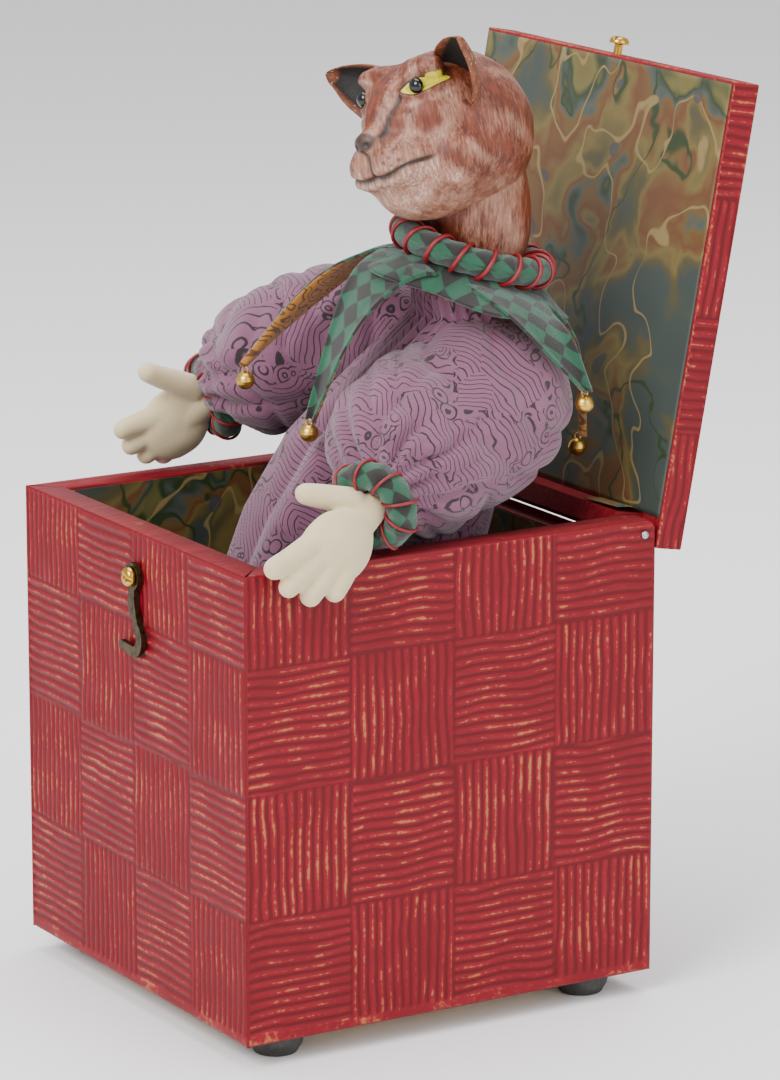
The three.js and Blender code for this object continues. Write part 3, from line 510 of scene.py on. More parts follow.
def weave(m, uv, thread_mm=0.42):
    """Plain weave height, crests where warp and weft cross: |sin u| + |sin v|."""
    turns = m.vec("SCALE", uv, Scale=math.pi / (thread_mm * MM))
    x, y, _ = m.add("ShaderNodeSeparateXYZ", i0=turns).node.outputs
    return m.math("ADD", *(m.math("ABSOLUTE", m.math("SINE", k)) for k in (x, y)))


def check_cotton():
    """Printed cotton: green and black checks with soft corners, plain weave.

    Green where sin(pi x / side) sin(pi y / side) is above zero.
    """
    m = Material("check_printed_cotton", 0.85, ior=1.45, Sheen_Weight=0.25)
    uv = m.attr("cloth", 1)
    q = m.warp(uv, 14, 2, 0.5, (3.5, 3.5, 0))
    turns = m.vec("SCALE", q, Scale=math.pi / (CHECK_SIDE * MM))
    x, y, _ = m.add("ShaderNodeSeparateXYZ", i0=turns).node.outputs
    s = m.math("MULTIPLY", m.math("SINE", x), m.math("SINE", y))
    n = m.noise(uv, 5, 3, 0.6)
    green = m.mix(n, "0d4029", "1b5a40")
    black = m.mix(n, "0d0c0c", "1f1a18")
    c = m.mix(m.step(s, -0.06, 0.06), black, green)
    w = weave(m, uv)
    # Painted shade: the cloth darkens toward 14211b where the weave is low, between the threads.
    c = m.mix(m.math("MULTIPLY", m.step(w, 1.1, 0.3), 0.35), c, "14211b")
    m.colour(c)
    m.bump(w, 0.16, 0.6)
    return m.mat


def mustard_cotton():
    """Lining cotton: mustard with a fine darker leaf line."""
    m = Material("mustard_lining_cotton", 0.85, ior=1.45, Sheen_Weight=0.2)
    uv = m.attr("cloth", 1)
    wv = m.math("SINE", m.math("MULTIPLY", m.noise(uv, 9, 1, 0.5), 60.0))
    c = m.mix(m.step(wv, 0.3, 0.8), "a9702a", "5f3c1c")
    m.colour(c)
    m.bump(weave(m, uv), 0.16, 0.5)
    return m.mat


def wave_cotton():
    """Dusky pink cotton printed with fine black lines in fans, with scrolled crests.

    Fans: 34 mm Voronoi cells, each with arcs about its own centre, moved at random;
    lines where fract(distance / 2.1 mm) is near 0.5. Scrolls: rings in 6 mm cells, where
    a slow noise is near 0.52.
    """
    m = Material("line_printed_cotton", 0.88, ior=1.45, Sheen_Weight=0.3)
    p = m.attr("cloth3", 1)
    q = m.warp(p, 26, 2, 0.5, (12, 12, 12))
    fan = m.add("ShaderNodeTexVoronoi", Vector=q, Scale=1 / (34 * MM)).node.outputs
    away = m.stretch(m.vec("SUBTRACT", fan["Color"], (0.5, 0.5, 0.5)), 0.13, 0.13, 0.13)
    reach = m.vec("DISTANCE", q, m.vec("ADD", fan["Position"], away), out=1)
    ink = m.step(m.off(m.math("FRACT", m.math("DIVIDE", reach, 2.1 * MM))), 0.12, 0.06)
    small = m.add("ShaderNodeTexVoronoi", Vector=q, Scale=1 / (6 * MM))
    curl = m.math("FRACT", m.math("MULTIPLY", small, 3.2))
    where = m.step(m.off(m.noise(q, 42, 1), 0.52), 0.034, 0.020)
    ink = m.mix(where, ink, m.step(m.off(curl), 0.20, 0.11))
    n = m.noise(p, 18, 3, 0.6)
    cloth = m.mix(n, "7d4c67", "98647f")
    w = weave(m, p, 0.5)
    # Painted shade: the cloth darkens toward 57344a where the weave is low, between the threads.
    cloth = m.mix(m.math("MULTIPLY", m.step(w, 1.0, 0.2), 0.25), cloth, "57344a")
    m.colour(m.mix(m.math("MULTIPLY", ink, 0.92), m.mix(0.4, cloth, "3a1a2a"), "0c0808"))
    m.bump(w, 0.15, 0.5)
    return m.mat


def cream_suede():
    """Cream brushed cotton, stuffed: soft nap with faint shading."""
    m = Material("cream_brushed_cotton", 0.9, ior=1.45, Sheen_Weight=0.5)
    p = m.coords()
    n = m.noise(p, 12, 3, 0.6)
    nap = m.noise(p, 0.5, 3, 0.7)
    m.colour(m.mix(m.math("MULTIPLY", n, nap), "cfbf98", "ad9568"))
    m.bump(nap, 0.12, 0.6)
    return m.mat


def red_thread():
    """Mercerised red cord: glossy twisted strands."""
    m = Material("mercerised_red_cord", 0.42, ior=1.5)
    n = m.noise(m.coords(), 0.8, 2)
    m.colour(m.mix(n, "5c0208", "8c0c18"))
    m.bump(n, 0.12, 0.7)
    return m.mat


PAINT = paint_combed()
PAINT_PLAIN = paint_combed(False)
PAPER = marbled_paper()
BIRCH = birch()
ZINC = steel("zinc_plated_steel")
SPRING_STEEL = steel("spring_steel", "9aa0a6", 0.35)
RUBBER = rubber()
BRASS = brass("polished_brass", "c09640", "8a6424", 0.2, 0.0)
BELL = brass("spun_brass", "cfa850", "7d5f28", 0.28, 0.06)
OLD_BRASS = brass("antique_brass", "4f4028", "1d1812", 0.36, 0.14)
CAT = cat_paint()
LEATHER = ear_leather()
GLASS = gloss_black()
CHECK = check_cotton()
MUSTARD = mustard_cotton()
WAVE = wave_cotton()
CREAM = cream_suede()
THREAD = red_thread()


def plain(node, mat, bevel=0.0):
    """A CAD node that keeps its shape gets a material, and a small bevel if asked."""
    o = NODES[node]
    o.data.materials.clear()
    o.data.materials.append(mat)
    if bevel:
        b = o.modifiers.new("edge", "BEVEL")
        b.width = bevel * MM
        b.segments = 3
        b.limit_method = "ANGLE"
        b.angle_limit = math.radians(35)
    return o


# ------------------------------------------------------------------ combed boards
COMB_PITCH = 3.95
RELIEF = 0.7  # the ridges' height
ARRIS = 0.9  # radius of the boards' worn edges


def comb_height(u, v, columns, rows_from, row, flip, seed):
    """Height of the combed ridges, 0 to 1, at u across and v up, in mm.

    Squares alternate between ridges along u and along v. Within one,
    h = 0.5 + 0.5 cos(2 pi (c + wobble) / pitch), where c runs across the ridges.
    """
    wob = Noise(38, seed)
    wob2 = Noise(11, seed + 1)
    p = np.stack([u, v, np.zeros_like(u)], -1)
    shift = 0.95 * wob(p) + 0.35 * wob2(p)
    i = np.floor(u / columns + 0.015 * wob(p * 1.3)).astype(int)
    j = np.floor((v - rows_from) / row + 0.015 * wob2(p)).astype(int)
    level = (i + j + flip) % 2 == 0
    across = np.where(level, v, u) + shift
    h = 0.5 + 0.5 * np.cos(2 * np.pi * across / COMB_PITCH)
    h = h ** 1.3 * (0.9 + 0.2 * wob(p * 2.1))
    du = np.abs(u / columns - np.round(u / columns)) * columns
    dv = np.abs((v - rows_from) / row - np.round((v - rows_from) / row)) * row
    fade = np.clip(np.minimum(du, dv) / 1.1, 0.25, 1)
    h = h * fade
    return np.clip(h, 0, 1) * smooth(v, 3.0, 4.4) + 0.75 * (1 - smooth(v, 3.0, 4.4))


def combed_board(name, node, origin, across, up, out, width, height, depth, body,
                 columns, rows_from, row, flip, seed, top=None, step=0.8, edges=(0, 0)):
    """A closed board whose outer face carries the comb ridges.

    Point (i, j) of the face is origin + u across + v up + out * (h - 1) * RELIEF, with
    the outer ARRIS rounded down by a quarter circle. top(u) lowers the upper edge.
    edges are how far the inner face is drawn in at each side, for a mitre.
    """
    nu, nv = int(width / step) + 1, int(height / step) + 1
    uu, vv = np.linspace(0, 1, nu), np.linspace(0, 1, nv)
    u, v = np.meshgrid(uu * width, vv, indexing="ij")
    v = v * (top(u) if top else height)
    h = comb_height(u, v, columns, rows_from, row, flip, seed)
    lim = top(u) if top else height
    d = np.minimum(np.minimum(u, width - u), np.minimum(v, lim - v))
    round_off = ARRIS - np.sqrt(ARRIS ** 2 - np.clip(ARRIS - d, 0, ARRIS) ** 2)
    lift = (h - 1) * RELIEF * np.clip(d / 1.2, 0, 1) - round_off * 0.8 - 0.05
    A, U, O = np.array(across, float), np.array(up, float), np.array(out, float)
    P = np.array(origin, float) + u[..., None] * A + v[..., None] * U + lift[..., None] * O
    face = P.reshape(-1, 3)
    quads = [list(f) for f in grid_faces(nu, nv)]
    ring = border(nu, nv)
    ub, vb = u.ravel()[ring], v.ravel()[ring]
    ui = edges[0] + ub * (width - edges[0] - edges[1]) / width
    side1 = np.array(origin) + ub[:, None] * A + vb[:, None] * U - O * ARRIS
    back = np.array(origin) + ui[:, None] * A + vb[:, None] * U - O * depth
    n0, k = len(face), len(ring)
    verts = np.vstack([face, side1, back])
    s1, s2 = n0 + np.arange(k), n0 + k + np.arange(k)
    quads += band(ring, s1) + band(s1, s2) + [list(s2)]
    o = mesh_object(name, verts, quads, PAINT, body)
    clean(o, WELD)
    pts = points_of(o)
    rel = (pts - np.array(origin)) @ O
    edge = (rel < 0.05 - ARRIS).astype(float)
    ridge = np.full(len(pts), 0.6)
    ridge[:len(face)] = np.clip(1 + lift.ravel() / RELIEF, 0, 1)
    attribute(o, "ridge", ridge)
    attribute(o, "edge", edge)
    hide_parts(node)


def wall_top(u):
    """Height of a side wall: the rear top corner is rounded to a 5.3 mm radius."""
    r = 5.3
    over = np.clip(u - (BOX_D - r), 0, r)
    return BODY_H - (r - np.sqrt(r * r - over * over))


ROW = 49.2  # the height of a comb square; the top row is lower
SIDE_SQUARE, FRONT_SQUARE, REAR_SQUARE = BOX_D / 4, BOX_W / 4, 2 * IN_W / 4
for side, sign, flip, seed in (("right", 1, 0, 3), ("left", -1, 1, 5)):
    combed_board(f"combed_{side}_wall", f"{side}_wall", (sign * HALF_W, -HALF_D + 0.15, 0),
                 (0, 1, 0), (0, 0, 1), (sign, 0, 0), BOX_D - 0.15, BODY_H, STOCK, "box",
                 SIDE_SQUARE, 0, ROW, flip, seed, top=wall_top, edges=(STOCK, 0))
combed_board("combed_front_wall", "front_wall", (-HALF_W + 0.15, -HALF_D, 0), (1, 0, 0),
             (0, 0, 1), (0, -1, 0), BOX_W - 0.3, BODY_H, STOCK, "box",
             FRONT_SQUARE, 0, ROW, 0, 7, edges=(STOCK, STOCK))
combed_board("combed_rear_wall", "rear_wall", (-IN_W + 0.1, HALF_D, 0), (1, 0, 0), (0, 0, 1),
             (0, 1, 0), 2 * IN_W - 0.2, PIVOT[2] - 7.0, STOCK, "box",
             REAR_SQUARE, 0, ROW, 1, 9)


def turn_lid(p):
    """A point drawn on the shut lid, carried to its open rest about the pins."""
    r = rot(0, -LID_ANGLE)
    return (np.asarray(p, float) - PIVOT) @ r.T + PIVOT


def lid_board():
    """The lid's board: comb squares on its top and its four edges, and a plain underside.

    Six grids on the faces of a box; edges are pulled in to a radius of ARRIS.
    """
    lo = np.array([-HALF_W, -HALF_D, LID_UNDER])
    hi = np.array([HALF_W, HALF_D, LID_UNDER + STOCK])
    size = hi - lo
    parts, quads, ridges, edges, start = [], [], [], [], 0
    for a, b, n, far in [(1, 0, 2, 1), (1, 0, 2, 0), (1, 2, 0, 1), (1, 2, 0, 0),
                         (0, 2, 1, 1), (0, 2, 1, 0)]:
        nu, nv = int(size[a] / 0.95) + 1, int(size[b] / 0.95) + 1
        u, v = np.meshgrid(np.linspace(0, size[a], nu), np.linspace(0, size[b], nv),
                           indexing="ij")
        plain_side = n == 2 and not far
        if n == 2:
            h = comb_height(u, v + 6, SIDE_SQUARE, 6, FRONT_SQUARE, 1, 31)
        else:
            square, seed = (SIDE_SQUARE, 3) if n == 0 else (FRONT_SQUARE, 7)
            h = comb_height(u, v + BODY_H, square, 0, ROW, 0, seed)
        d = np.minimum(np.minimum(u, size[a] - u), np.minimum(v, size[b] - v))
        lift = -0.02 + 0 * u if plain_side else (h - 1) * RELIEF * np.clip(d, 0, 1) - 0.05
        P = np.zeros(u.shape + (3,))
        P[..., a], P[..., b] = lo[a] + u, lo[b] + v
        P[..., n] = (hi[n] + lift) if far else (lo[n] - lift)
        parts.append(P.reshape(-1, 3))
        quads += grid_faces(nu, nv, start=start).tolist()
        start += nu * nv
        ridges.append(np.clip(1 + lift.ravel() / RELIEF, 0, 1) * (0.5 if plain_side else 1))
        edges.append(np.full(nu * nv, 1.0 if plain_side else 0.0))
    P = np.vstack(parts)
    c, half = (lo + hi) / 2, size / 2 - ARRIS
    q = P - c
    over = np.clip(np.abs(q) - half, 0, None)
    ln = np.maximum(np.linalg.norm(over, axis=1, keepdims=True), 1e-9)
    hit = (over > 0).sum(1, keepdims=True) > 1
    pulled = np.sign(q) * (np.minimum(np.abs(q), half) + over * np.minimum(1, ARRIS / ln))
    P = np.where(hit, c + pulled, P)
    o = mesh_object("combed_lid_board", turn_lid(P), quads, PAINT, "lid")
    attribute(o, "ridge", np.concatenate(ridges))
    attribute(o, "edge", np.concatenate(edges))
    clean(o, 0.2)
    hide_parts("lid_board")


lid_board()


# ------------------------------------------------------------------ plain CAD pieces
for lining in ("floor", "front", "rear", "left", "right"):
    plain(f"lining_{lining}", PAPER)
plain("bottom_board", BIRCH, 0.5)
plain("spring_block", BIRCH, 0.6)
plain("top_disc", BIRCH, 0.4)
plain("neck_dowel", BIRCH, 0.4)
plain("neck_screw", ZINC)
plain("hinge_rail", PAINT_PLAIN, 0.5)
plain("hook", OLD_BRASS, 0.35)
for corner in ("front_left", "front_right", "rear_left", "rear_right"):
    plain(f"foot_screw_{corner}", ZINC)


# ------------------------------------------------------------------ thin sheets
def shell(P, thick, close_v=False):
    """A closed skin from a grid of points: P and P - normal * thick, joined at the borders."""
    du = np.gradient(P, axis=0)
    if close_v:
        dv = (np.roll(P, -1, 1) - np.roll(P, 1, 1)) / 2
    else:
        dv = np.gradient(P, axis=1)
    n = np.cross(du, dv)
    n /= np.maximum(np.linalg.norm(n, axis=-1, keepdims=True), 1e-9)
    Q = P - n * thick
    nu, nv = P.shape[:2]
    N = nu * nv
    quads = grid_faces(nu, nv, False, close_v).tolist()
    top = len(quads)
    quads += [f[::-1] for f in grid_faces(nu, nv, False, close_v, N).tolist()]
    idx = np.arange(N).reshape(nu, nv)
    for loop in (idx[0], idx[-1]) if close_v else (border(nu, nv),):
        quads += band(loop, loop + N)
    index = np.zeros(len(quads), int)
    index[top:2 * top] = 1
    return np.vstack([P.reshape(-1, 3), Q.reshape(-1, 3)]), quads, index


def lid_paper():
    """The marbled sheet on the lid's underside, in the plane z = const of the shut lid.

    Its free face ripples by up to 0.03 mm.
    """
    w, y0, y1 = HALF_W - 1.5, -HALF_D + 1.5, IN_D - 0.2
    n = Noise(28, 5)
    x, y = np.meshgrid(np.linspace(-w, w, 90), np.linspace(y0, y1, 90), indexing="ij")
    z = np.full_like(x, LID_UNDER - 0.41)
    z = z - 0.03 * n(np.stack([x, y, z], -1))
    verts, quads, _ = shell(np.stack([x, y, z], -1)[::-1], 0.34)
    o = mesh_object("marbled_lid_paper", turn_lid(verts), quads, PAPER, "lid")
    clean(o)
    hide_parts("lid_lining")


def rail_flap():
    """The paper's loose tongue: it runs off the lid's sheet and curls over the rail's face.

    On the shut lid it hangs in front of the rail: y = face - 0.15 - 1.2 sin(pi v) and a lean.
    """
    u, v = np.meshgrid(np.linspace(0, 1, 30), np.linspace(0, 1, 24), indexing="ij")
    x = 52 + 23.5 * u + 1.5 * np.sin(3 * v)
    z = LID_UNDER - 0.8 - 11.5 * v
    y = IN_D - 0.15 - 1.2 * np.sin(np.pi * v) * (0.6 + 0.4 * u) - 1.0 * v * u
    verts, quads, _ = shell(np.stack([x, y, z], -1), 0.35)
    o = mesh_object("marbled_paper_tongue", turn_lid(verts), quads, PAPER, "lid")
    clean(o)


lid_paper()
rail_flap()


# ------------------------------------------------------------------ small metal
def pin(side, node):
    """A steel pin whose outer end is a low dome: radius * cos t, height 0.8 * sin t."""
    t = np.linspace(0, np.pi / 2, 10)
    dome = np.stack([1.6 * np.cos(t), 0.1 + 0.7 * np.sin(t)], -1)[:-1]
    profile = np.vstack([[[0.001, -21.1], [1.45, -21.1], [1.6, -20.8]], dome, [[0.001, 0.8]]])
    v, f = lathe(profile, 32)
    v = v[:, [2, 0, 1]] * [side, 1, 1] + [side * HALF_W, PIVOT[1], PIVOT[2]]
    o = mesh_object(node + "_domed", v, f, ZINC, "box")
    clean(o, WELD)
    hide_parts(node)


def slotted_screw(name, node, seat, inward, shank, body, turn, lid=False):
    """A pan-head screw: a domed head r 4, with a slot 1.2 wide sunk to 1.3 above the seat.

    Head height at radius r is 2.9 (1 - (r / 4)^4)^0.42; the slot is a smooth step in |x|.
    """
    r = np.array([0.001, 0.35, 0.7, 1.05, 1.4, 1.8, 2.2, 2.6, 2.9, 3.2, 3.45, 3.65, 3.8, 3.9,
                  3.97, 4.0])
    top = 2.9 * np.clip(1 - (r / 4.0) ** 4, 0, 1) ** 0.42
    rings = [[0.001, -shank], [0.9, -shank + 1.6], [1.7, -shank + 3.4]]
    rings += [[1.75, z] for z in np.linspace(-shank + 4, -0.4, 8)]
    rings += [[1.8, 0.0], [3.9, 0.0], [4.0, 0.12]]
    rings += list(zip(r[::-1][1:], top[::-1][1:]))
    v, f = lathe(rings, 72)
    sunk = smooth(0.62 - np.abs(v[:, 0]), 0, 0.14) * (v[:, 2] > 0.3)
    v[:, 2] = np.where(sunk > 0, v[:, 2] - sunk * np.clip(v[:, 2] - 1.3, 0, 1.6), v[:, 2])
    v = v @ rot(2, turn).T
    ax = -unit(inward)
    up = np.array([0, 0, 1.0])
    a = unit(np.cross(up, ax))
    m = np.stack([a, np.cross(ax, a), ax], 1)
    v = v @ m.T + np.asarray(seat)
    o = mesh_object(name, turn_lid(v) if lid else v, f, BRASS, body)
    clean(o, WELD)
    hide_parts(node)


CATCH_Z = LID_UNDER + STOCK / 2
HOOK_Z = CATCH_Z - math.sqrt(24.5 ** 2 - 6.6 ** 2)
pin(1, "hinge_pin_right")
pin(-1, "hinge_pin_left")
slotted_screw("catch_screw_slotted", "catch_screw", (-1.6, -HALF_D - 4, CATCH_Z), (0, 1, 0), 16,
              "lid", 25, lid=True)
slotted_screw("hook_screw_slotted", "hook_screw", (5, -HALF_D - 2.9, HOOK_Z), (0, 1, 0), 13,
              "box", 70)


def feet():
    """Moulded rubber feet: a tapered drum with rounded edges and a screw recess."""
    h, r, rc = 9.5, 11.0, 4.6
    t = np.linspace(0, np.pi / 2, 7)
    low = np.stack([8.9 - 1.2 + 1.2 * np.cos(t), -h + 1.2 - 1.2 * np.sin(t)], -1)
    lip = np.stack([rc + 0.5 - 0.5 * np.sin(t), -h + 0.5 - 0.5 * np.cos(t)], -1)
    profile = np.vstack([[[2.1, -0.1], [10.6, -0.1], [r, -0.5], [r, -3.0], [10.4, -5.8]],
                         low, lip, [[rc, -5.3], [2.1, -5.23], [2.1, -0.1]]])
    for fy, sy in (("front", -1), ("rear", 1)):
        for fx, sx in (("left", -1), ("right", 1)):
            v, f = lathe(profile, 56)
            o = mesh_object(f"rubber_foot_{fy}_{fx}", v + [sx * 72, sy * 70, 0], f, RUBBER,
                            "box")
            clean(o, WELD)
            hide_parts(f"foot_{fy}_{fx}")


feet()


def spring():
    """Five turns of wire, from level at the foot to square with the leaning axis on top.

    The radius runs from 24 to 17, and the turns lie closer at both ends.
    """
    turns = 5
    n = turns * 44
    t = np.linspace(0, 1, n + 1)
    foot, top = lean_at(21.1), DISC + AXIS * -2.1
    s = 0.12 * t + 0.88 * smooth(t, 0, 1)
    centre = foot + (top - foot) * s[:, None]
    radius = 24 - 7 * t
    ang = 2 * np.pi * turns * t
    ring = np.stack([radius * np.cos(ang), radius * np.sin(ang), 0 * t], -1)
    tilted = ring @ LEAN_TURN.T
    p = centre + ring * (1 - t[:, None]) + tilted * t[:, None]
    v, f = tube(p, path_frames(p), np.full((n + 1, 12), 1.5), 12)
    o = mesh_object("coil_spring", v, f, SPRING_STEEL, "box")
    clean(o)
    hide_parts("spring")
    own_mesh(o)


spring()


# ------------------------------------------------------------------ the cat's head
def to_world(p):
    """A point in the head's own axes (it looks along -Y) to the frame."""
    return np.asarray(p) @ HEAD_TURN.T + HEAD_AT


BALLS = [  # middle, half-widths: skull, brow, jaw, bridge, nose, chin
    ((0, 4, 4), (31, 31, 32)), ((0, -9, 11), (25, 24, 21)), ((0, -12, -13), (22, 20, 15)),
    ((0, -22, 8), (9.5, 15, 14)), ((0, -37.2, 4), (6.4, 5.6, 4.4)), ((0, -20, -18), (11, 11, 7.5)),
]
for sx in (1, -1):  # muzzle, cheek and the ridge over the eye
    BALLS += [((sx * 7.5, -26, -5), (13, 14.5, 10.5)), ((sx * 17, -11, -6), (13.5, 15, 14)),
              ((sx * 14, -17, 29.5), (10, 6, 4.0))]
SOCKETS = [((sx * EYE[0], -35, 21), 10.0) for sx in (1, -1)]


def head_field(p):
    """Below zero inside: balls blended by f = -k log sum exp(-d / k), less two sockets."""
    total = 0
    for c, r in BALLS:
        r = np.array(r, float)
        q = (p - np.array(c)) / r
        ln = np.linalg.norm(q, axis=-1)
        d = (ln - 1) * ln / np.maximum(np.linalg.norm(q / r, axis=-1), 1e-9)
        total = total + np.exp(-np.clip(d, -60, 60) / 1.7)
    f = -1.7 * np.log(total)
    for c, r in SOCKETS:
        d = r - np.linalg.norm(p - np.array(c), axis=-1)
        h = np.clip(0.5 + (d - f) / 5.0, 0, 1)
        f = f + (d - f) * h + 2.5 * h * (1 - h)
    return f


def head_surface(nt=250, nph=250):
    """Points where head_field is zero on rays from the head's middle, and their normals.

    The rays are spherical, closer together at the face: phi - 0.42 sin phi.
    """
    th = np.linspace(0.004, np.pi - 0.004, nt)
    ph = np.linspace(-np.pi, np.pi, nph, endpoint=False)
    ph = ph - 0.42 * np.sin(ph)
    T, F = np.meshgrid(th, ph - np.pi / 2, indexing="ij")
    d = np.stack([np.sin(T) * np.cos(F), np.sin(T) * np.sin(F), np.cos(T)], -1)
    found = np.full(T.shape, 8.0)
    for r in np.linspace(12, 56, 60):
        found = np.where(head_field(d * r) < 0, r, found)
    lo, hi = found, found + 0.9
    for _ in range(9):
        mid = (lo + hi) / 2
        inside = head_field(d * mid[..., None]) < 0
        lo, hi = np.where(inside, mid, lo), np.where(inside, hi, mid)
    P = d * lo[..., None]
    du, dv = np.gradient(P, axis=0), (np.roll(P, -1, 1) - np.roll(P, 1, 1)) / 2
    n = unit(np.cross(du, dv))
    return P, np.where((n * d).sum(-1, keepdims=True) < 0, -n, n)


def hump(x, width):
    """A bell curve: exp(-(x / width)^2)."""
    return np.exp(-(x / width) ** 2)


def face_marks(x, y, z):
    """Masks of the face's features, 0 to 1, from the points' places in the head's axes.

    eu and ev run along and across the eye's almond, |ev| < 3.3 (1 - |eu / 6.6|^1.6).
    """
    ax = np.abs(x)
    f = {}
    t = np.clip(ax / 22, 0, 1.2)
    mouth = -9.8 - 1.9 * np.sin(np.pi * np.clip(t * 1.15, 0, 1)) * (1 - t) + 4.2 * t ** 2
    face = smooth(-y, 4, 12)
    f["line"] = hump(z - mouth, 0.95) * face * smooth(1.1 - t, 0, 0.15)
    f["lip"] = hump(z - mouth + 2.4, 1.3) * face * smooth(0.85 - t, 0, 0.3)
    f["split"] = hump(x, 0.85) * smooth(1.5 - z, 0, 2) * smooth(z + 10.5, 0, 1.5) * (y < -25)
    ex, ez = ax - EYE[0], z - EYE[2]
    c, s = math.cos(0.2), math.sin(0.2)
    eu, ev = ex * c + ez * s, -ex * s + ez * c
    almond = 1 - (np.abs(eu) / 6.6) ** 1.6
    open_eye = np.clip(almond, 0, 1) * 3.3
    front = smooth(-y, 8, 14)
    f["iris"] = smooth(open_eye - np.abs(ev), -0.05, 0.4) * front * (almond > 0)
    rim = np.abs(np.abs(ev) - open_eye) + 3 * np.clip(np.abs(eu) - 6.6, 0, None)
    f["lid"] = hump(rim - 0.9, 0.9) * front * (np.abs(eu) < 9) * (np.abs(ev) < 7)
    f["lash"] = hump(rim, 0.55) * front * (np.abs(eu) < 8) * (np.abs(ev) < 6)
    f["ring"] = hump((eu / 10.5) ** 2 + (ev / 6.8) ** 2 - 1, 0.32) * front
    tear_x = 10.2 - 3.0 * smooth(19 - z, 0, 12)
    f["tear"] = hump(ax - tear_x, 0.95) * smooth(z, 3, 6) * smooth(20.5 - z, 0, 1.5) * front
    f["nose"] = smooth(1 - ((x / 6.6) ** 2 + ((z - 4.2) / 3.9) ** 2), -0.05, 0.25) * (y < -30)
    f["nostril"] = hump(ax - 2.9, 1.3) * hump(z - 2.9, 1.1) * (y < -30)
    whiskers = ((9, -1), (12, -3.5), (9.5, -5), (13.5, -0.5), (15.5, -5), (12.5, -6.5))
    f["dots"] = sum(np.exp(-((ax - wx) ** 2 + (z - wz) ** 2) / 0.5) for wx, wz in whiskers)
    f["dots"] = f["dots"] * (y < -15)
    return f, front


def stripes(P, x, y, z):
    """How white the fur is: waves of stripes on the brow, the cheeks and under the eyes."""
    ax = np.abs(x)
    bend, broken = Noise(30, 23)(P) * 2.6, Noise(9, 24)
    fore = np.sin(ax * 0.5 + bend * 0.7 + 0.5) * smooth(z, 20, 30)
    back = smooth(y, -12, 4)
    cheek = np.sin(z * 0.30 + y * 0.26 * (1 - 0.6 * back) + bend) * (1 - smooth(z, 24, 32))
    cheek = cheek * smooth(broken(P * 0.6), -0.5, 0.5) * smooth(ax, 8, 16)
    under = np.sin(ax * 0.55 + 0.5 * bend) * smooth(-y, 6, 16)
    under = under * (1 - smooth(z, 15, 19)) * smooth(z, -2, 5)
    return 0.40 + 0.26 * fore + 0.34 * cheek + 0.35 * under + 0.16 * broken(P)


def head():
    """The sculpted head: its grooves are pressed in along the normal, and its fur painted."""
    P, n = head_surface()
    nt, nph = P.shape[:2]
    x, y, z = P[..., 0], P[..., 1], P[..., 2]
    f, front = face_marks(x, y, z)
    flow = np.stack([x, y * 0.3, z * 0.45], -1)
    fur = Noise(5.5, 21, 20)(flow) * 0.35 + Noise(2.6, 22, 24)(flow * [1, 1, 0.6]) * 0.2
    smooth_skin = np.clip(f["iris"] + f["nose"], 0, 1)
    depth = {"line": -1.7, "lip": 0.8, "split": -1.0, "lid": 1.15, "iris": -0.7, "tear": -0.5,
             "nostril": -1.6, "dots": -0.35}
    press = sum(f[k] * mm for k, mm in depth.items()) + fur * (1 - smooth_skin) * 0.8
    P = P + n * press[..., None]
    white = stripes(P, x, y, z) + 0.35 * smooth(-y, 20, 27) * smooth(6 - z, 0, 5)
    white = white + 0.4 * f["ring"] + 0.45 * f["lip"] + 0.22 * smooth(-z, 2, 12) * front
    white = white - 0.75 * hump(x, 3.0) * smooth(z, 9, 14) * front
    dark = (f["line"] * 1.1 + f["split"] + f["tear"] * 1.1 + f["lash"] + f["nose"] * 0.85
            + f["nostril"] + f["dots"])
    N = nt * nph
    quads = grid_faces(nt, nph, False, True).tolist()
    quads += [list(range(nph)), list(range(N - nph, N))[::-1]]
    o = mesh_object("sculpted_cat_head", to_world(P.reshape(-1, 3)), quads, CAT, "puppet")
    attribute(o, "white", np.clip(white, 0, 1).ravel())
    attribute(o, "dark", np.clip(dark, 0, 1).ravel())
    attribute(o, "iris", f["iris"].ravel())
    attribute(o, "pale", 0.3 * smooth(-z, 12, 22).ravel())
    attribute(o, "furpos", P.reshape(-1, 3) * MM)
    clean(o)
    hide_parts("head")


def neck():
    """The neck: a tube of radius 18.5 up through the collar that swells into the head."""
    steps, sides = 90, 96
    low = [DISC + np.array([0, -COLLAR_FORWARD, d]) @ LEAN_TURN.T for d in (22.2, 38, 51)]
    p = catmull(low + [HEAD_AT + [0, 9, -6]], steps)
    t = np.linspace(0, 1, steps)
    around = np.linspace(0, 2 * np.pi, sides, endpoint=False)
    r = 18.5 + 2.5 * smooth(t, 0.45, 0.85)
    spread = np.stack(np.meshgrid(t * 70, around * 19, [0], indexing="ij"), -1)[:, :, 0]
    lump = Noise(7, 33)(spread)
    v, f = tube(p, path_frames(p), r[:, None] + 0.25 * lump, sides)
    o = mesh_object("cat_neck", v, f, CAT, "puppet")
    clean(o)
    stripe = np.sin(np.tile(around * 3.1, steps) + 2 * Noise(26, 34)(v))
    attribute(o, "white", np.clip(0.42 + 0.35 * stripe, 0, 1))
    attribute(o, "furpos", v * MM)


def eyes():
    """Black glass domes: (r sin t, 0.82 r cos t) turned about the line of sight."""
    r = 3.1
    for node, side in (("eye_left", 1), ("eye_right", -1)):
        t = np.linspace(0, np.pi, 28)
        v, f = lathe(np.stack([r * np.sin(t) + 0.0005, 0.82 * r * np.cos(t)], -1)[::-1], 48)
        v = v @ rot(0, 90).T + EYE * [side, 1, 1]
        o = mesh_object(node + "_glass", to_world(v), f, GLASS, "puppet")
        clean(o, WELD)
        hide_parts(node)


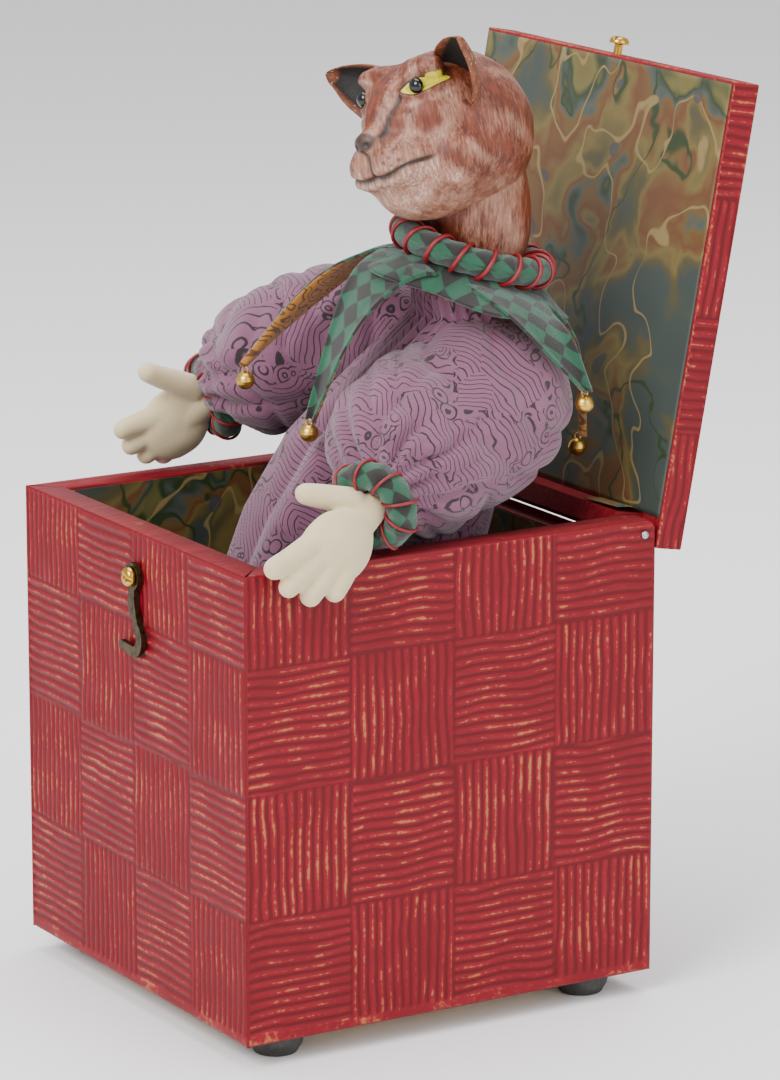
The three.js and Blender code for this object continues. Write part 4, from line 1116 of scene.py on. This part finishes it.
def ears():
    """Cupped leather leaves: half-width (1 - v^2)^0.8, cupped back by 9 (1 - u^2)."""
    nv, nu = 64, 49
    for node, side in (("ear_left", 1), ("ear_right", -1)):
        inner, outer, tip = [np.array(p, float) * [side, 1, 1]
                             for p in ((13, -11, 31), (30, -9, 12), (41, -20, 36))]
        mid = (inner + outer) / 2
        v, u = np.meshgrid(np.linspace(-0.3, 1.0, nv), np.linspace(-1, 1, nu), indexing="ij")
        w = np.clip(1 - v ** 2 * np.sign(v), 0, None) ** 0.8
        P = mid + (tip - mid) * v[..., None] + (outer - mid) * (u * np.maximum(w, 0.03))[..., None]
        wob = Noise(14, 41)(P) * 0.4
        P[..., 1] += 9 * (1 - u * u) * w + wob
        half = np.abs(u)
        bead = hump(half - 0.9, 0.09) + hump(v - 0.93, 0.05)
        back = P + [0, 2.2, 0]
        front = P - np.array([0, 0.8, 0]) * np.clip(bead, 0, 1)[..., None]
        N = nv * nu
        verts = np.vstack([front.reshape(-1, 3), back.reshape(-1, 3)])
        quads = grid_faces(nv, nu).tolist() + grid_faces(nv, nu, start=N)[:, ::-1].tolist()
        quads += band(border(nv, nu), border(nv, nu) + N)
        felt = smooth(0.86 - half, 0, 0.06) * smooth(0.9 - v, 0, 0.05)
        o = mesh_object(node + "_leather", to_world(verts), quads, LEATHER, "puppet")
        clean(o)
        attribute(o, "inside", np.concatenate([felt.ravel(), 0 * felt.ravel()]))
        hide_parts(node)


head()
neck()
eyes()
ears()


# ------------------------------------------------------------------ rolled collar
COLLAR = DISC + np.array([0, -COLLAR_FORWARD, COLLAR_OVER]) @ LEAN_TURN.T


def on_bias(a, b):
    """Cloth places in metres for a along and b across, in mm, cut at 45 degrees."""
    return np.stack([a + b, a - b, 0 * a], -1) * math.sqrt(0.5) * MM


def check_uv(U, V, turns_u, turns_v):
    """Places on the check, turned 45 degrees; U, V in 0..1 and whole repeats round."""
    repeat = 2 * CHECK_SIDE * math.sqrt(2)
    return on_bias(U * turns_u * repeat, V * turns_v * repeat)


def ring_roll(name, node, body, centre, turn, R, r, repeats, pleats, depth, seed, n=200, m=40):
    """A stuffed ring: a torus whose tube swells and pinches round its length.

    radius(a, b) = r (1 + depth cos(pleats a + wobble) + noise); the seam stays hidden.
    """
    a, b = np.meshgrid(np.linspace(0, 2 * np.pi, n, endpoint=False),
                       np.linspace(0, 2 * np.pi, m, endpoint=False), indexing="ij")
    base = np.stack([R * np.cos(a), R * np.sin(a), 0 * a], -1)
    out = np.stack([np.cos(a) * np.cos(b), np.sin(a) * np.cos(b), np.sin(b)], -1)
    wob = Noise(R * 0.9, seed)(base + out * r)
    rr = r * (0.985 + depth * np.cos(pleats * a + 0.7 * wob + 0.6 * np.sin(b)) + 0.035 * wob)
    P = (base + out * rr[..., None]) @ np.asarray(turn).T + centre
    o = mesh_object(name, P.reshape(-1, 3), grid_faces(n, m, True, True).tolist(), CHECK, body)
    clean(o)
    attribute(o, "cloth", check_uv(a / (2 * np.pi), b / (2 * np.pi), *repeats).reshape(-1, 3))
    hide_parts(node)
    return o


def collar():
    """The rolled collar, pinched by every turn of its red cord."""
    turns = 17
    ring_roll("collar_rolled_ring", "collar_roll", "puppet", COLLAR, LEAN_TURN, COLLAR_R, ROLL_R,
              (8, 2), turns, 0.05, 61)
    o = winding("collar_red_cord", COLLAR, LEAN_TURN, COLLAR_R, ROLL_R + 0.65, 0.85, turns,
                "puppet")
    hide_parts("collar_thread")


def winding(name, centre, turn, R, r, thick, turns, body):
    """A cord wound round a ring: it runs round a torus once while it turns `turns` times."""
    n = turns * 40
    around = 2 * np.pi * np.arange(n) / n
    across = around * turns
    reach = R + r * np.cos(across)
    p = np.stack([reach * np.cos(around), reach * np.sin(around), r * np.sin(across)], -1)
    p = p @ np.asarray(turn).T + centre
    v, f = tube(p, closed_frames(p), np.full((n, 10), thick), 10, True)
    return clean(mesh_object(name, v, f, THREAD, body))


def closed_frames(p):
    """Frames on a closed path, with the leftover twist spread evenly along it."""
    fr = path_frames(p, True)
    tan = unit(np.roll(p, -1, 0) - np.roll(p, 1, 0))
    a, b = fr[-1]
    a0 = unit(a - tan[0] * np.dot(a, tan[0]))
    miss = math.atan2(np.dot(a0, fr[0][1]), np.dot(a0, fr[0][0]))
    t = -miss * np.arange(len(p)) / len(p)
    c, s = np.cos(t)[:, None], np.sin(t)[:, None]
    return np.stack([fr[:, 0] * c + fr[:, 1] * s, -fr[:, 0] * s + fr[:, 1] * c], 1)


collar()


# ------------------------------------------------------------------ smock and arms
# Rings of the smock: height, middle from the leaning axis in X and Y, half-widths.
GOWN = np.array([[SMOCK_TOP, -0.5, -16, 22.5, 22.5], [SMOCK_SHOULDER, 0, -6, 26, 26],
                 [240, -4, -9, 36, 38], [211, -11, -17, 42, 48], [184, -12, -20, 46, 52],
                 [168, -12, -20, 46, 53], [120, -9, -13, 54, 62], [72, -4, -6, 59, 66],
                 [SMOCK_FOOT, -1, 2, 61, 66]], float)
# Each arm: the cuff's middle, the fullest places with their radii, the way the cuff faces,
# and the tips of fingers and thumb from the cuff.
ARMS = {
    "left": dict(
        wrist=np.array([84, -33, 203.5]), shoulder=lean_at(246) + [10, -4, 0],
        belly=[(lean_at(228) + [20, -4, 0], 37), (lean_at(215) + [25, -31, 0], 38)],
        facing=(0.45, -0.85, -0.3), thumb=(-3, -31, 8),
        fingers=[(13, -54, -17), (14, -48, -25), (14, -38, -30), (13, -26, -30)]),
    "right": dict(
        wrist=np.array([-78, -11, 213.7]), shoulder=lean_at(250) + [-30, 4, 0],
        belly=[(np.array([-37, 24, 242.0]), 32), (np.array([-54, 4, 231.0]), 32)],
        facing=(-0.15, -0.9, -0.3), thumb=(4, -36, 15),
        fingers=[(-4, -43, -11), (-6, -38, -19), (-7, -30, -24), (-7, -22, -25)]),
}


def sleeve_balls(arm, steps=9):
    """Middles and radii of balls down the sleeve, from the shoulder to the wrist."""
    (b0, r0), (b1, r1) = arm["belly"]
    stops = [arm["shoulder"], b0, b1, arm["wrist"] * 0.7 + b1 * 0.3]
    radii = [20, r0, r1, 17]
    pts = catmull(stops, steps + 1)
    t = np.linspace(0, 3, steps + 1)
    k = np.minimum(t.astype(int), 2)
    s = smooth(t - k, 0, 1)
    rr = np.array(radii)
    return pts, rr[k] + (rr[k + 1] - rr[k]) * s


def gown_ring(z):
    """Middle and half-widths of the smock at height z."""
    s = [np.interp(z, GOWN[::-1, 0], GOWN[::-1, k]) for k in range(5)]
    c = lean_at(np.asarray(z)[..., None])
    cx, cy = c[..., 0] + s[1], c[..., 1] + s[2]
    return cx, cy, np.minimum(s[3], IN_W - 2 - np.abs(cx)), s[4]


def pose_soft(o):
    """Gives a soft piece a mesh of its own."""
    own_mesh(o)


def gown():
    """The smock: level ellipses down the leaning axis, with folds that only go inward.

    Fold depth = (1.5 + 4.2 drop) (1 - |sin(4.5 a + wobble)|); 32 gathers near the collar.
    """
    z = np.linspace(SMOCK_TOP, SMOCK_FOOT, 118)
    a = np.linspace(0, 2 * np.pi, 240, endpoint=False)
    Z, A = np.meshgrid(z, a, indexing="ij")
    cx, cy, wa, wb = gown_ring(Z)
    d = np.stack([np.cos(A), np.sin(A), 0 * A], -1)
    slow = Noise(70, 71)(np.stack([60 * np.cos(A), 60 * np.sin(A), Z], -1))
    drop = SMOCK_SHOULDER - Z
    fold = 1 - np.abs(np.sin(4.5 * A + 1.3 * slow + drop * 0.008))
    fold = fold * (1.5 + 4.2 * smooth(drop, 5, 60))
    gather = (0.5 + 0.5 * np.cos(32 * A + slow)) * 1.6 * smooth(Z, 225, SMOCK_SHOULDER)
    shrink = fold + gather + 0.8 * (1 + slow)
    P = np.stack([cx, cy, Z], -1) + d * np.stack([wa - shrink, wb - shrink, 0 * wa], -1)
    verts, quads, _ = shell(P, 1.1, True)
    o = mesh_object("smock_body", verts, quads, WAVE, "box")
    clean(o)
    attribute(o, "cloth3", verts * MM)
    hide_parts("gown")
    pose_soft(o)


def fused(name, pieces, voxel, smoothing, mat, body):
    """One skin round several closed pieces: a voxel remesh, then relaxed."""
    verts, faces, start = [], [], 0
    for v, f in pieces:
        verts.append(v)
        faces += [[i + start for i in q] for q in f]
        start += len(v)
    raw = mesh_object(name + "_raw", np.vstack(verts), faces, mat, None)
    m = raw.modifiers.new("skin", "REMESH")
    m.mode, m.voxel_size = "VOXEL", voxel * MM
    s = raw.modifiers.new("relax", "SMOOTH")
    s.factor, s.iterations = 0.5, smoothing
    dg = bpy.context.evaluated_depsgraph_get()
    me = bpy.data.meshes.new_from_object(raw.evaluated_get(dg))
    me.name = name
    bpy.data.objects.remove(raw)
    o = bpy.data.objects.new(name, me)
    bpy.context.scene.collection.objects.link(o)
    me.polygons.foreach_set("use_smooth", np.ones(len(me.polygons), bool))
    return o


def ball(c, r, n=26):
    """A sphere or ellipsoid of half-widths r about c."""
    t = np.linspace(0, np.pi, n)
    v, f = lathe(np.stack([np.sin(t) + 1e-5, np.cos(t)], -1)[::-1], 2 * n)
    f = f + [list(range(2 * n)), list(range(len(v) - 2 * n, len(v)))[::-1]]
    return v * np.asarray(r, float) + np.asarray(c), f


def capsule(a, b, r0, r1):
    """A round-ended bar from a to b."""
    a, b = np.asarray(a, float), np.asarray(b, float)
    L = np.linalg.norm(b - a)
    t = np.linspace(0, np.pi / 2, 8)
    prof = np.vstack([np.stack([r0 * np.sin(t) + 1e-4, -r0 * np.cos(t)], -1),
                      np.stack([r1 * np.cos(t) + 1e-4, L + r1 * np.sin(t)], -1)])
    v, f = lathe(prof, 28)
    f = f + [list(range(28)), list(range(len(v) - 28, len(v)))[::-1]]
    return v @ turn_z_to(b - a).T + a, f


def moved(o, fn):
    """Moves the object's points by fn(points, normals) in mm."""
    p = points_of(o)
    n = np.empty(len(p) * 3, np.float32)
    o.data.vertices.foreach_get("normal", n)
    q = p + fn(p, n.reshape(-1, 3).astype(float))
    o.data.vertices.foreach_set("co", (q * MM).ravel())
    o.data.update()
    return q


def sleeve(side):
    """A full sleeve: a skin round balls down the arm, drawn in to the cuff.

    Folds only go inward: long ones from the cuff, 4.2 (1 - |sin(5.5 angle + wobble)|)^1.5,
    17 small gathers at the cuff, and drapes in slanting waves, 2.6 deep.
    """
    arm = ARMS[side]
    pts, rr = sleeve_balls(arm, 26)
    w, face = arm["wrist"], unit(arm["facing"])
    pieces = [ball(p, np.full(3, r - 1.0), 22) for p, r in zip(pts[2:], rr[2:])]
    pieces.append(capsule(pts[-1], w - face * 5.5, 15.5, 10.5))
    o = fused(f"smock_sleeve_{side}", pieces, 1.9, 9, WAVE, "box")
    n1, n2 = Noise(46, 81), Noise(15, 82)
    e1 = unit(np.cross(face, [0, 0, 1]))
    e2 = np.cross(face, e1)

    def shift(p, n):
        q = p - w
        ang = np.arctan2(q @ e2, q @ e1)
        dist = np.linalg.norm(q, axis=1)
        slow = n1(p)
        near = hump(dist - 16, 26)
        long_fold = (1 - np.abs(np.sin(5.5 * ang + 1.4 * slow + dist * 0.03))) ** 1.5
        small = 0.5 + 0.5 * np.cos(17 * ang + 1.5 * slow)
        drape = (1 - np.abs(np.sin(p @ [0.07, 0.12, 0.09] + 1.8 * slow))) ** 2
        sink = 4.2 * long_fold * hump(dist - 20, 34) + 1.8 * small * near + 2.6 * drape
        return -n * (sink + 0.8 * (1 + slow) + 0.35 * n2(p))[:, None]

    q = moved(o, shift)
    s = o.modifiers.new("relax", "SMOOTH")
    s.factor, s.iterations = 0.5, 2
    attribute(o, "cloth3", q * MM)
    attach(o, "box")
    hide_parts(f"sleeve_{side}")
    pose_soft(o)


def hand(side):
    """A stuffed mitten: palm, four fingers and a thumb fused, with the grooves kept.

    Where it lies on the box's rim, its points are moved up or out to just clear the wall.
    """
    arm = ARMS[side]
    w = arm["wrist"]
    at = lambda reach, share: w + np.asarray(reach, float) * share
    mid = np.mean(arm["fingers"], 0)
    v, f = ball((0, 0, 0), (7.6, 16.5, 14.5))
    palm = (v @ rot(0, -math.degrees(math.atan2(mid[2], -mid[1]))).T + at(mid, 0.5), f)
    pieces = [palm, capsule(at(mid, -0.06), at(mid, 0.45), 5.8, 7.6)]
    pieces += [capsule(at(g, 0.5), at(g, 0.93), 5.3, 4.1) for g in arm["fingers"]]
    pieces.append(capsule(at(arm["thumb"], 0.3), at(arm["thumb"], 0.9), 5.6, 4.2))
    o = fused(f"stuffed_hand_{side}", pieces, 0.8, 5, CREAM, "box")
    bulge = Noise(13, 91)

    def shift(p, n):
        d = n * (0.25 * bulge(p))[:, None]
        q = p + d
        inside = (q[:, 0] > IN_W - 0.3) & (q[:, 0] < HALF_W + 0.4) & (q[:, 2] < BODY_H + 0.4)
        to_top = inside & (q[:, 2] > BODY_H - 4)
        d[to_top, 2] += BODY_H + 0.45 - q[to_top, 2]
        to_side = inside & ~to_top
        d[to_side, 0] += HALF_W + 0.45 - q[to_side, 0]
        return d

    moved(o, shift)
    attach(o, "box")
    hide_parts(f"hand_{side}")
    pose_soft(o)


gown()
sleeve("left")
sleeve("right")
hand("left")
hand("right")
for side, axis in (("left", (0.36, -0.05, 0.93)), ("right", (-0.30, 0, 0.95))):
    at, turned = ARMS[side]["wrist"], turn_z_to(ARMS[side]["facing"])
    cuff = ring_roll(f"cuff_rolled_{side}", f"cuff_{side}", "box", at, turned, CUFF_R,
                     CUFF_ROLL_R, (4, 2), 11, 0.055, 95, 140, 36)
    cord = winding(f"cuff_red_cord_{side}", at, turned, CUFF_R, CUFF_ROLL_R + 0.5, 0.6, 9, "box")
    for soft in (cuff, cord):
        pose_soft(soft)


# ------------------------------------------------------------------ flaps and bells
def body_distance(p):
    """Distance to the clothed body, below zero inside it."""
    best = np.full(p.shape[:-1], 1e9)
    for arm in ARMS.values():
        for c, r in zip(*sleeve_balls(arm)):
            best = np.minimum(best, np.linalg.norm(p - c, axis=-1) - r)
    z = np.clip(p[..., 2], SMOCK_FOOT, SMOCK_SHOULDER)
    cx, cy, a, b = gown_ring(z)
    out = np.hypot((p[..., 0] - cx) / (a + 1), (p[..., 1] - cy) / (b + 1))
    flat = (out - 1) * np.minimum(a, b)
    rise = p[..., 2] - SMOCK_SHOULDER
    far = np.where(rise > 0, np.hypot(np.maximum(flat, 0), np.maximum(rise, 0)), flat)
    return np.minimum(best, far)


def push_out(p, clear):
    """Moves points out of the clothed body until they are clear of it."""
    q = np.array(p, float)
    for _ in range(30):
        d = body_distance(q)
        g = np.stack([body_distance(q + e) - body_distance(q - e) for e in np.eye(3) * 0.5], -1)
        q = q + unit(g + 1e-9) * np.clip(clear - d, 0, 4)[..., None]
    return q


FLAPS = [  # name, root's angle round the collar, tip, and a direction (x, y, z)
    ("front_right", -152, (-17, -31, 238), (0.10, 0.10, 0.98)),
    ("front_left", -92, (30, -27, 225), (0.14, 0.12, 0.97)),
    ("left", 2, (80, 64, 236), (0.32, 0.22, 0.92)),
    ("rear_left", 62, (45, 84, 210), (0.14, 0.27, 0.95)),
    ("rear_right", 122, (-12, 84, 230), (0.05, 0.27, 0.96)),
]
HALF_LEAF = 17.0  # half the width of a leaf's root


def on_collar(angle, radius, drop):
    """A point below the rolled collar, in its own leaning plane."""
    t = math.radians(angle)
    return np.array([radius * math.cos(t), radius * math.sin(t), -drop]) @ LEAN_TURN.T + COLLAR


def flap(name, root, tip, axis):
    """A leaf of doubled cotton from under the collar to a point: half-width 17 (1 - v)^0.8.

    Its middle runs on a quadratic curve; its sides curl up by 2 mm and ripple.
    """
    nv, nu = 44, 27
    at = (nv // 4 - 1, nu // 2)  # a place on its middle, to tell which way it faces
    tip = np.array(tip, float)
    m, out = on_collar(root, COLLAR_R - 2, 7.7), on_collar(root, COLLAR_R + 20, 9.7)
    side = unit(on_collar(root + 30, 30, 0) - on_collar(root - 30, 30, 0))
    v, u = np.meshgrid(np.linspace(0, 1, nv), np.linspace(-1, 1, nu), indexing="ij")
    half = HALF_LEAF * (1 - v) ** 0.8 * (1 + 0.45 * v * (1 - v)) + 1
    V3 = v[..., None]
    line = m * (1 - V3) ** 2 + 2 * out * V3 * (1 - V3) + tip * V3 ** 2
    P = line + side * (half * u)[..., None]
    P[..., 2] -= 0.12 * half * u * u
    P = push_out(P, 1.5)
    du, dv = np.gradient(P, axis=0), np.gradient(P, axis=1)
    n = unit(np.cross(dv, du))
    if n[at][2] < 0:
        n = -n
    ripple = 0.5 * np.sin(9 * v + 2 * u) * u * u + 2.0 * np.abs(u) ** 5 * smooth(v, 0.15, 0.6)
    P = P + n * (np.clip(ripple, 0, None) + 1.2)[..., None]
    facing = np.dot(np.cross(du[at], dv[at]), n[at]) > 0
    verts, quads, index = shell(P if facing else P[:, ::-1], 1.15)
    o = mesh_object(f"collar_leaf_{name}", verts, quads, [CHECK, MUSTARD], "box",
                    index=index)
    clean(o)
    L = np.linalg.norm(np.diff(line[:, 0], axis=0), axis=1).sum()
    uv = on_bias(half * u, v * L)
    attribute(o, "cloth", np.vstack([uv.reshape(-1, 3)] * 2))
    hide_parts(f"collar_flap_{name}")
    pose_soft(o)
    bell(name, push_out(push_out(tip, 1.4) + [0, 0, -4.9], 4.3))


def bell(name, centre):
    """A round brass bell: a ball of radius 3.62 with a raised waist, a loop and a slit below."""
    t = np.linspace(0.0005, np.pi - 0.0005, 44)
    r = 3.62 + 0.16 * hump(t - np.pi / 2, 0.07)
    v, f = lathe(np.stack([r * np.sin(t), -r * np.cos(t)], -1), 64)
    slit = smooth(0.55 - np.abs(v[:, 1]), 0, 0.2) * (v[:, 2] < -0.5)
    hole = smooth(0.85 - np.hypot(np.abs(v[:, 0]) - 2.3, v[:, 1]), 0, 0.2) * (v[:, 2] < -0.5)
    v = v * (1 - 0.32 * np.maximum(slit, hole))[:, None]
    ang = np.linspace(0, 2 * np.pi, 28, endpoint=False)
    lp = np.stack([1.2 * np.cos(ang), 0 * ang, 4.2 + 1.2 * np.sin(ang)], -1)
    lv, lf = tube(lp, closed_frames(lp), np.full((28, 10), 0.35), 10, True)
    verts = np.vstack([v, lv])
    quads = f + [[i + len(v) for i in q] for q in lf]
    o = mesh_object(f"brass_bell_{name}", verts @ rot(2, 35).T + centre, quads, BELL, "box")
    clean(o, WELD)
    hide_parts(f"bell_{name}")
    pose_soft(o)


for spec in FLAPS:
    flap(*spec)


def yoke():
    """The collar leaves' shared root: a sloped ring of check cotton under the rolled collar.

    Radius runs from 21 to 39 + 4.5 cos(5 a + 1.2), and drop from 2 to 15; it clears the smock.
    """
    v, a = np.meshgrid(np.linspace(0, 1, 22), np.linspace(0, 2 * np.pi, 160, endpoint=False),
                       indexing="ij")
    edge = 39 + 4.5 * np.cos(5 * (a - math.radians(-14)))
    r = 21 + (edge - 21) * v
    drop = 2 + 13 * v + 0.5 * np.cos(17 * a) * (1 - v)
    P = np.stack([r * np.cos(a), r * np.sin(a), -drop], -1) @ LEAN_TURN.T + COLLAR
    P = np.where(v[..., None] > 0.25, push_out(P, 3.2), P)
    verts, quads, index = shell(P, 1.0, True)
    o = mesh_object("collar_leaf_yoke", verts, quads, [CHECK, MUSTARD], "puppet",
                    index=index)
    clean(o)
    uv = np.stack([r * np.cos(a), r * np.sin(a), 0 * a], -1).reshape(-1, 3) * MM
    attribute(o, "cloth", np.vstack([uv, uv]))


yoke()


# ------------------------------------------------------------------ floor, light, camera
LIGHTS = [  # name, place in mm, size in mm, watts
    ("key_light", (700, -1700, 1600), 1200, 66),
    ("fill_light", (1900, 500, 900), 1500, 22),
    ("top_light", (-300, 200, 1900), 1400, 34),
]
CAMERA_AT = (1.69479, -0.99909, 0.64644)  # metres
AZIMUTH, ELEVATION, LENS = 58.861, 13.658, 170.96  # degrees, and mm on a 36 mm sensor


def place(name, data, matrix):
    """A new object at its matrix, in the scene."""
    o = bpy.data.objects.new(name, data)
    o.matrix_world = matrix
    bpy.context.scene.collection.objects.link(o)
    return o


def studio():
    """The pale floor, three soft lights, an even world, and the camera."""
    floor_mat = Material("pale_paper_sweep", 0.9, ior=1.45)
    floor_mat.colour(floor_mat.mix(floor_mat.noise(floor_mat.coords(), 300), "f4f3f2", "f7f6f5"))
    u, v = np.meshgrid(*[np.linspace(-3000, 3000, 60)] * 2, indexing="ij")
    P = np.stack([u, v, np.full_like(u, -9.56)], -1)
    faces = grid_faces(60, 60).tolist()
    objs = [mesh_object("floor", P.reshape(-1, 3), faces, floor_mat.mat, None)]
    for name, at, size, power in LIGHTS:
        lamp = bpy.data.lights.new(name, "AREA")
        lamp.size, lamp.energy = size * MM, power
        at = Vector(at) * MM
        aim = (Vector((0, 0, 0.15)) - at).to_track_quat("-Z", "Y")
        objs.append(place(name, lamp, Matrix.Translation(at) @ aim.to_matrix().to_4x4()))
    world = bpy.data.worlds.new("studio")
    world.use_nodes = True
    bg = world.node_tree.nodes["Background"]
    bg.inputs[0].default_value = srgb("eeeff1")
    bg.inputs[1].default_value = 1.0
    bpy.context.scene.world = world
    cam = bpy.data.cameras.new("camera")
    cam.lens, cam.sensor_width, cam.sensor_fit = LENS, 36, "AUTO"
    cam.clip_start, cam.clip_end = 0.1, 20
    a, e = math.radians(AZIMUTH), math.radians(ELEVATION)
    back = Vector((math.sin(a) * math.cos(e), -math.cos(a) * math.cos(e), math.sin(e)))
    right = Vector((math.cos(a), math.sin(a), 0))
    m = Matrix((right, back.cross(right), back)).transposed().to_4x4()
    m.translation = Vector(CAMERA_AT)
    objs.append(place("camera", cam, m))
    bpy.context.scene.camera = objs[-1]


studio()
